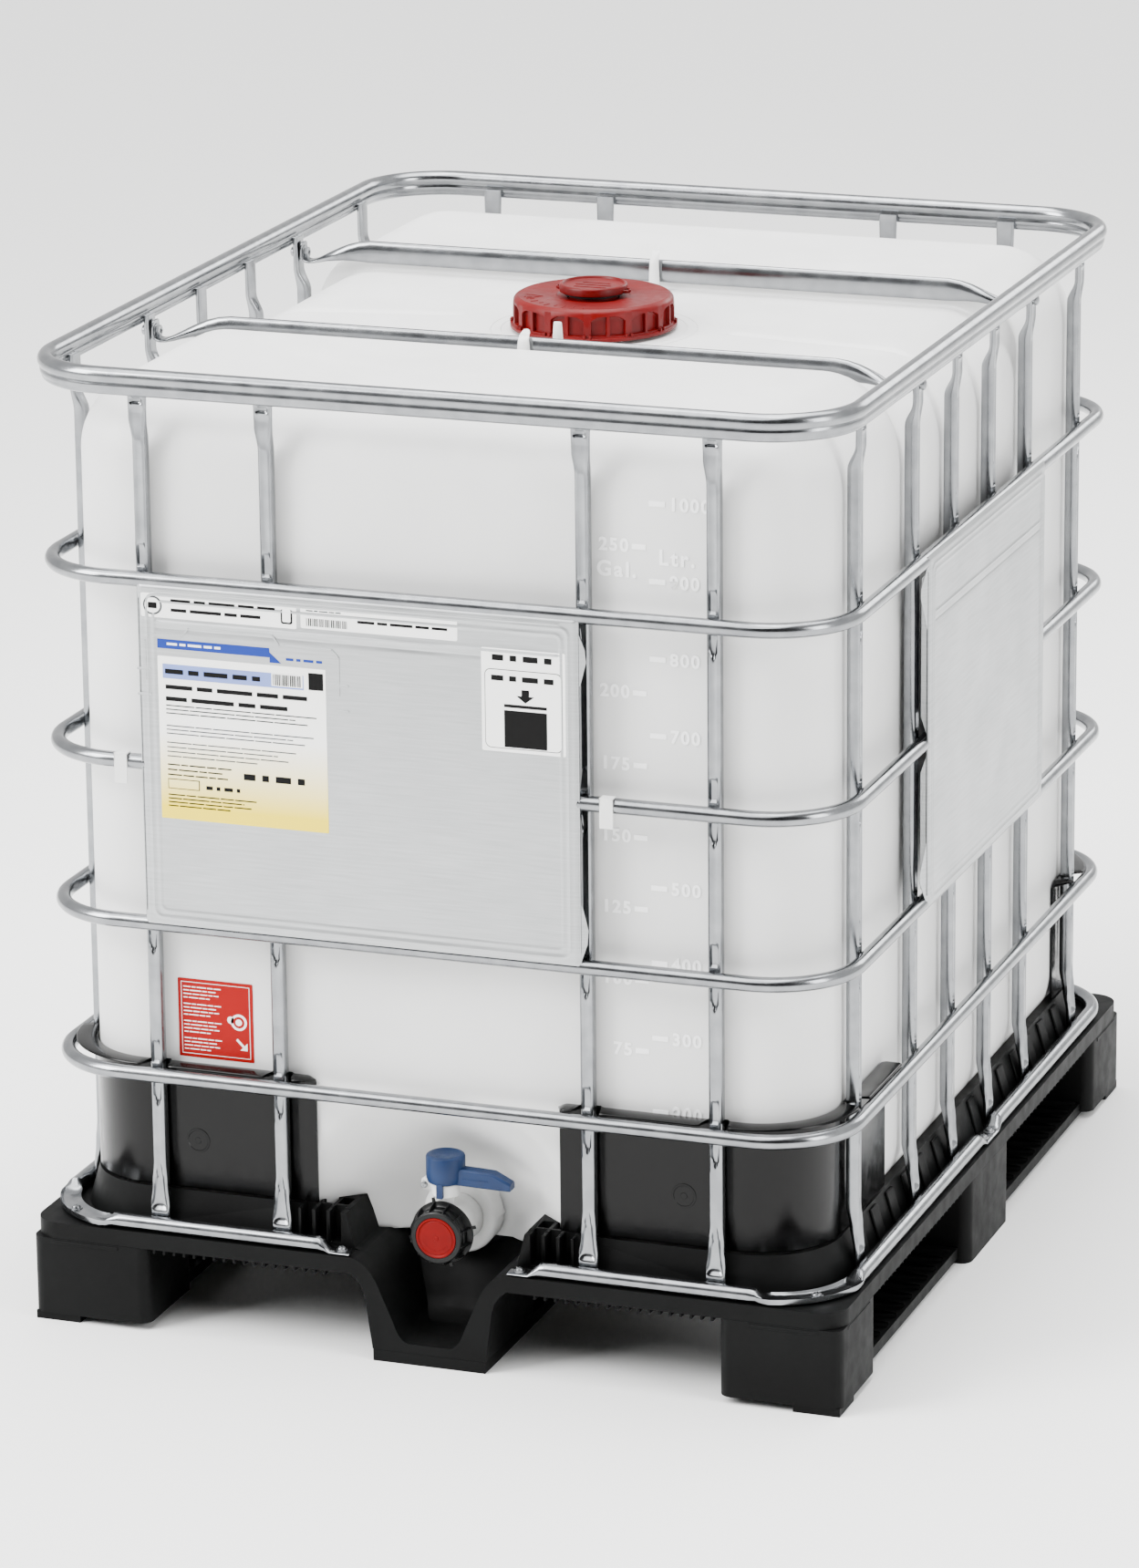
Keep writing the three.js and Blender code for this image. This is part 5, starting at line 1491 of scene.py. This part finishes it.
# Folded tongues that hook the plates over the rings beside them
tongues = Skin()
for ends, bends, place in (
    (
        ((band - 18, band - 78), (front_low.z + 8, front_low.z + 74)),
        ((0, 0), (9, 0.3), (11, 0.55), (2, 1), (0, 1)),
        lambda a, z, d: (front_high.x + a * 0.7, FRONT_FACE + 2.2 + d + a * 0.25, z),
    ),
    (
        ((side_top - 10, side_top - 86), (side_low.z + 10, side_low.z + 82)),
        ((0, 0), (12, 0.35), (12, 0.5), (0, 1)),
        lambda a, z, d: (SIDE_FACE - 2 - a * 0.4 - d, side_low.y - a * 0.8, z),
    ),
):
    for z0, z1 in ends:
        tongues.push([(out, z0 + (z1 - z0) * share) for out, share in bends], place, SHEET)
make_piece("plate_tongues", tongues, [sheet_steel], bevel=0.4)


# ---- Labels ----
LAYER = 0.22
WORDS = (0.19, 0.11, 0.25, 0.15, 0.3, 0.12, 0.22, 0.17)
RAGGED = (1.0, 0.86, 0.94, 0.7)
FULL = (1.0,)


class Print(Skin):
    """Flat paper and ink, in layers on a face that looks forward."""

    def __init__(self, face):
        super().__init__()
        self.face = face

    def shape(self, outline, depth, finish):
        """An outline of (x, z) pairs as a flat patch."""
        self.push(outline, lambda a, b, d: (a, self.face - 0.05 - d, b), depth, finish)

    def patch(self, x0, x1, z0, z1, finish, level=1, radius=0.3):
        """A rounded rectangle of paper or ink; level says how many layers it lies over."""
        left, right, low, high = x0 + radius, x1 - radius, z0 + radius, z1 - radius
        outline = []
        for cx, cz, start in ((right, high, 0), (left, high, 90), (left, low, 180), (right, low, 270)):
            for turn in range(start, start + 91, 15):
                angle = math.radians(turn)
                outline.append((cx + radius * math.cos(angle), cz + radius * math.sin(angle)))
        self.shape(outline, LAYER * level, finish)

    def text(self, x0, x1, top, count, pitch, height, finish, level=2, fills=RAGGED):
        """Rows of plain bars that stand for lines of print, broken into word lengths."""
        for row in range(count):
            z = top - pitch * row - height * 0.2
            x, word = x0, row * 3
            limit = x0 + (x1 - x0) * fills[row % len(fills)]
            while x < limit - 1:
                width = min(WORDS[word % len(WORDS)] * (x1 - x0), limit - x)
                self.patch(x, x + width, z - height * 0.62, z, finish, level, 0.1)
                x += width + height * 0.7
                word += 1

    def bars(self, x, z0, z1, count, wide, narrow, every, level):
        """A row of upright bars, each one of every so many narrower."""
        for bar in range(count):
            start = x + bar * 2.3
            self.patch(start, start + (wide if bar % every else narrow), z0, z1, BLACK, level, 0.05)


PAPER, PALE_BLUE, BLACK, GREY, FADE = range(5)
label = Print(FRONT_FACE)

# Top strip labels in the recessed band
label.patch(-337, -146, band - 39, band - 11, PAPER, 1, 2)
label.text(-300, -172, band - 15, 2, 11, 6, BLACK)
label.patch(-334, -311, band - 36, band - 14, GREY, 2, 10.5)
label.patch(-332, -313, band - 34, band - 16, PAPER, 3, 9)
label.patch(-328, -317, band - 28.5, band - 21.5, BLACK, 4, 1)
label.patch(-165, -151, band - 34, band - 17, BLACK, 2, 2.5)
label.patch(-163, -153, band - 32, band - 16, PAPER, 3, 2)
label.patch(-141, 48, band - 37, band - 12, PAPER, 1, 2)
label.text(-134, -92, band - 15, 2, 4.4, 2.2, GREY)
label.bars(-134, band - 34, band - 25, 22, 1.3, 0.7, 3, 2)
label.text(-72, 36, band - 22, 1, 8, 5, BLACK)

# The sheet label: header bar, headings, small print and a pale-to-yellow foot
label.patch(-318, -112, 636, 829, FADE, 2, 1)
label.patch(-312, -139, 803, 820, PALE_BLUE, 3, 0.5)
label.text(-309, -192, 816, 1, 10, 9, BLACK, 4)
label.patch(-178, -140, 805, 820, PAPER, 4)
label.bars(-176, 806, 819, 15, 1.4, 0.8, 4, 5)
label.patch(-133, -115, 804, 824, BLACK, 3, 0.5)
for x1, top, count, pitch, height, ink in (
    (-135, 797, 2, 14, 8, BLACK), (-124, 772, 3, 4.6, 2, BLACK), (-128, 748, 3, 4.6, 2, GREY),
    (-150, 728, 4, 5.4, 2, GREY), (-230, 702, 3, 6, 2.4, BLACK),
):
    label.text(-309, x1, top, count, pitch, height, ink, 3)
label.text(-215, -140, 700, 1, 14, 12, BLACK, 3, FULL)
label.text(-262, -220, 680, 1, 14, 7, BLACK, 3, FULL)
label.patch(-309, -270, 672, 684, BLACK, 3, 0.2)
label.patch(-308, -271, 673, 683, FADE, 4, 0.2)
label.text(-309, -200, 666, 4, 4.4, 2.2, BLACK, 3)

# The square handling label: a heading, an arrow down on to a bar over a solid block
label.patch(76, 176, 752, 872, PAPER, 1, 2)
label.text(89, 160, 867, 1, 14, 11, BLACK, 2, FULL)
label.patch(80, 172, 756, 848, BLACK, 2, 7)
label.patch(80.8, 171.2, 756.8, 847.2, PAPER, 3, 6.4)
label.text(88, 164, 843, 1, 14, 10, BLACK, 4, FULL)
label.patch(103, 154, 758, 801, BLACK, 4, 0.4)
label.patch(103, 154, 804.5, 808, BLACK, 4, 0.2)
arrow = [(128.5, 810.5), (139, 818.5), (133, 818.5), (133, 826), (124, 826), (124, 818.5), (118, 818.5)]
label.shape(arrow, LAYER * 4, BLACK)

fade_paper = fading_paper("label_paper_fading_to_yellow", "#FAFAF6", "#F4D800", 650, 740)
label_finishes = [paper_white, ink_grey_blue, ink_black, ink_grey, fade_paper]
make_piece("front_labels", label, label_finishes, crease=30)

# The tab-shaped holder pressed behind the sheet label, with its blue strip
BEAD_WIDTH, BEAD_HEIGHT = 2.2, 0.9
holder = Print(FRONT_FACE)
bead = [(-333, 800), (-333, 846), (-328, 853), (-288, 853), (-279, 864)]
bead += [(-176, 864), (-168, 853), (-104, 853), (-96, 845), (-96, 800)]
for (ax, az), (bx, bz) in zip(bead, bead[1:]):
    run = math.hypot(bx - ax, bz - az)
    nx, nz = -(bz - az) / run * BEAD_WIDTH / 2, (bx - ax) / run * BEAD_WIDTH / 2
    ex, ez = (bx - ax) / run * BEAD_WIDTH * 0.3, (bz - az) / run * BEAD_WIDTH * 0.3
    corners = ((ax, az, 1, -1), (ax, az, -1, -1), (bx, bz, -1, 1), (bx, bz, 1, 1))
    outline = [(x + side * nx + end * ex, z + side * nz + end * ez) for x, z, side, end in corners]
    holder.push(outline, lambda a, b, d: (a, FRONT_FACE + 0.2 - d, b), BEAD_HEIGHT)
for x in (-335, -93):
    for z in (782, 812):
        holder.patch(x - 9, x + 9, z - 1.6, z + 1.6, 0, 3, 1.4)
make_piece("label_holder", holder, [sheet_steel], bevel=0.3)
strip = Print(FRONT_FACE)
strip.patch(-318, -180, 838, 849, 0, 1, 0.6)
strip.text(-306, -240, 846, 1, 6, 4.4, 1)
strip.shape([(-180, 832), (-166, 832), (-180, 844)], 0.3, 0)
strip.text(-160, -112, 840, 1, 7, 5, 0, 1)
make_piece("label_strip_blue", strip, [ink_blue, paper_white])

# The red notice on the bottle, with plain bars, a round pictogram and an arrow
notice = Print(-HALF_Y)
notice.patch(-322, -228, 334, 430, 0, 2, 1.5)
for line in (
    (-318, -232, 425.4, 426), (-318, -232, 338, 338.6), (-318, -317.4, 338, 426), (-232.6, -232, 338, 426),
):
    notice.patch(*line, 1, 3, 0.1)
for block in range(4):
    notice.text(-315, -268, 421 - 21 * block, 4, 4.4, 2.0, 1, 3)
for x, z, r, ink, level in (
    (-246, 382, 10, 1, 3), (-246, 382, 7, 0, 4), (-246, 382, 4, 1, 5), (-256, 384, 4.5, 1, 3),
):
    notice.patch(x - r, x + r, z - r, z + r, ink, level, r - 0.1)
notice.shape([(-250, 360), (-248, 362), (-239, 353), (-241, 351)], LAYER * 3, 1)
notice.shape([(-236, 348), (-236, 357), (-239, 354), (-242, 351), (-245, 348)], LAYER * 3, 1)
make_piece("notice_red", notice, [ink_red, paper_white])

# Small white clips hooked on ring 3
clips = Skin()
hook_z, hook_top = RING_Z[1] - RING_R - 8, RING_Z[1] + RING_R + 1.6
clip_front = -RING_HALF_Y - 10.4
for x in (223, -368):
    for back, z in (
        (-8.8, (hook_z - 8, hook_z + 16)),
        (2, (RING_Z[1] + RING_R + 0.2, hook_top)),
        (-8.9, (hook_z + 14, hook_top)),
    ):
        clips.block((x - 8, x + 8), (clip_front, back - RING_HALF_Y), z)
make_piece("seal_clips", clips, [valve_hdpe], bevel=0.5)


# ---- Floor, light and camera ----
FLOOR_REACH = 30
WALL_SIDE = (0.34, -0.92, 0.2)
# Name, place, point it faces, width, height and power
SOFTBOXES = (
    ("key_softbox", (-3.6, -3.4, 3.6), (0, 0, 0.6), 2.4, 3.2, 520),
    ("fill_softbox", (4.6, -1.8, 2.2), (0, 0, 0.6), 1.6, 3.2, 180),
    ("top_softbox", (0.2, 0.4, 4.2), (0, 0, 0.8), 3.0, 3.0, 220),
    ("rear_softbox", (1.6, 4.6, 2.8), (0, 0, 0.8), 2.4, 1.6, 90),
)
SILK_STRENGTH, SILK_ANGLE, SILK_FACES = 4.2, 60, (0.25, 0.35, -1)
LENS_MM, SENSOR_MM = 149.16, 36
CAMERA_PLACE = (2.55879, -7.14772, 2.79901)
CAMERA_TURNS = (19.96, -16.6, -0.61)


def add_floor():
    """A pale, matt floor far wider than the view."""
    mesh = bpy.data.meshes.new("floor")
    corners = [(x * FLOOR_REACH, y * FLOOR_REACH, 0) for x, y in ((-1, -1), (1, -1), (1, 1), (-1, 1))]
    mesh.from_pydata(corners, [], [(0, 1, 2, 3)])
    floor = link_object("floor", mesh)
    # Painted studio floor: nearly white and matt, with a very fine tooth
    material, tree, shader, place = start_material("pale_studio_floor", "#F4F4F3", 0.7)
    raise_surface(tree, shader, grain(tree, place, 6, 2), 0.02)
    mesh.materials.append(material)


def add_world():
    """An even white room with one dark wall in front, which grades the tubes."""
    world = bpy.data.worlds.new("studio")
    bpy.context.scene.world = world
    world.use_nodes = True
    tree = world.node_tree
    place = tree.nodes.new("ShaderNodeTexCoord").outputs["Generated"]
    wall = {0: place, 1: WALL_SIDE}
    toward_wall = add_node(tree, "ShaderNodeVectorMath", wall, operation="DOT_PRODUCT").outputs["Value"]
    colour = blend_colours(tree, spread(tree, toward_wall, 0, 1, 0.35, 0.85), "#FFFFFF", "#2A2B2D")
    background = tree.nodes["Background"]
    tree.links.new(colour, background.inputs["Color"])
    background.inputs["Strength"].default_value = 1.25


def add_lights():
    """Four soft boxes, and a sun behind a wide silk overhead."""
    for name, place, aim, width, height, power in SOFTBOXES:
        light = bpy.data.lights.new(name, "AREA")
        light.shape = "RECTANGLE"
        light.size, light.size_y, light.energy = width, height, power
        lamp = link_object(name, light)
        lamp.location = place
        lamp.rotation_euler = (Vector(aim) - Vector(place)).to_track_quat("-Z", "Y").to_euler()
    light = bpy.data.lights.new("overhead_silk", "SUN")
    light.energy, light.angle = SILK_STRENGTH, math.radians(SILK_ANGLE)
    silk = link_object("overhead_silk", light)
    silk.rotation_euler = Vector(SILK_FACES).to_track_quat("-Z", "Y").to_euler()


def add_camera():
    """The camera stands in front and to the right, looking down at the container."""
    data = bpy.data.cameras.new("camera")
    data.lens, data.sensor_width, data.clip_end = LENS_MM, SENSOR_MM, 100
    yaw, pitch, roll = map(math.radians, CAMERA_TURNS)
    forward = Vector((-math.sin(yaw) * math.cos(pitch), math.cos(yaw) * math.cos(pitch), math.sin(pitch)))
    level = Vector((math.cos(yaw), math.sin(yaw), 0))
    right = level * math.cos(roll) + level.cross(forward) * math.sin(roll)
    up = right.cross(forward)
    camera = link_object("camera", data)
    rows = [(right[k], up[k], -forward[k], CAMERA_PLACE[k]) for k in range(3)]
    camera.matrix_world = Matrix((*rows, (0, 0, 0, 1)))
    bpy.context.scene.camera = camera


add_floor()
add_world()
add_lights()
add_camera()
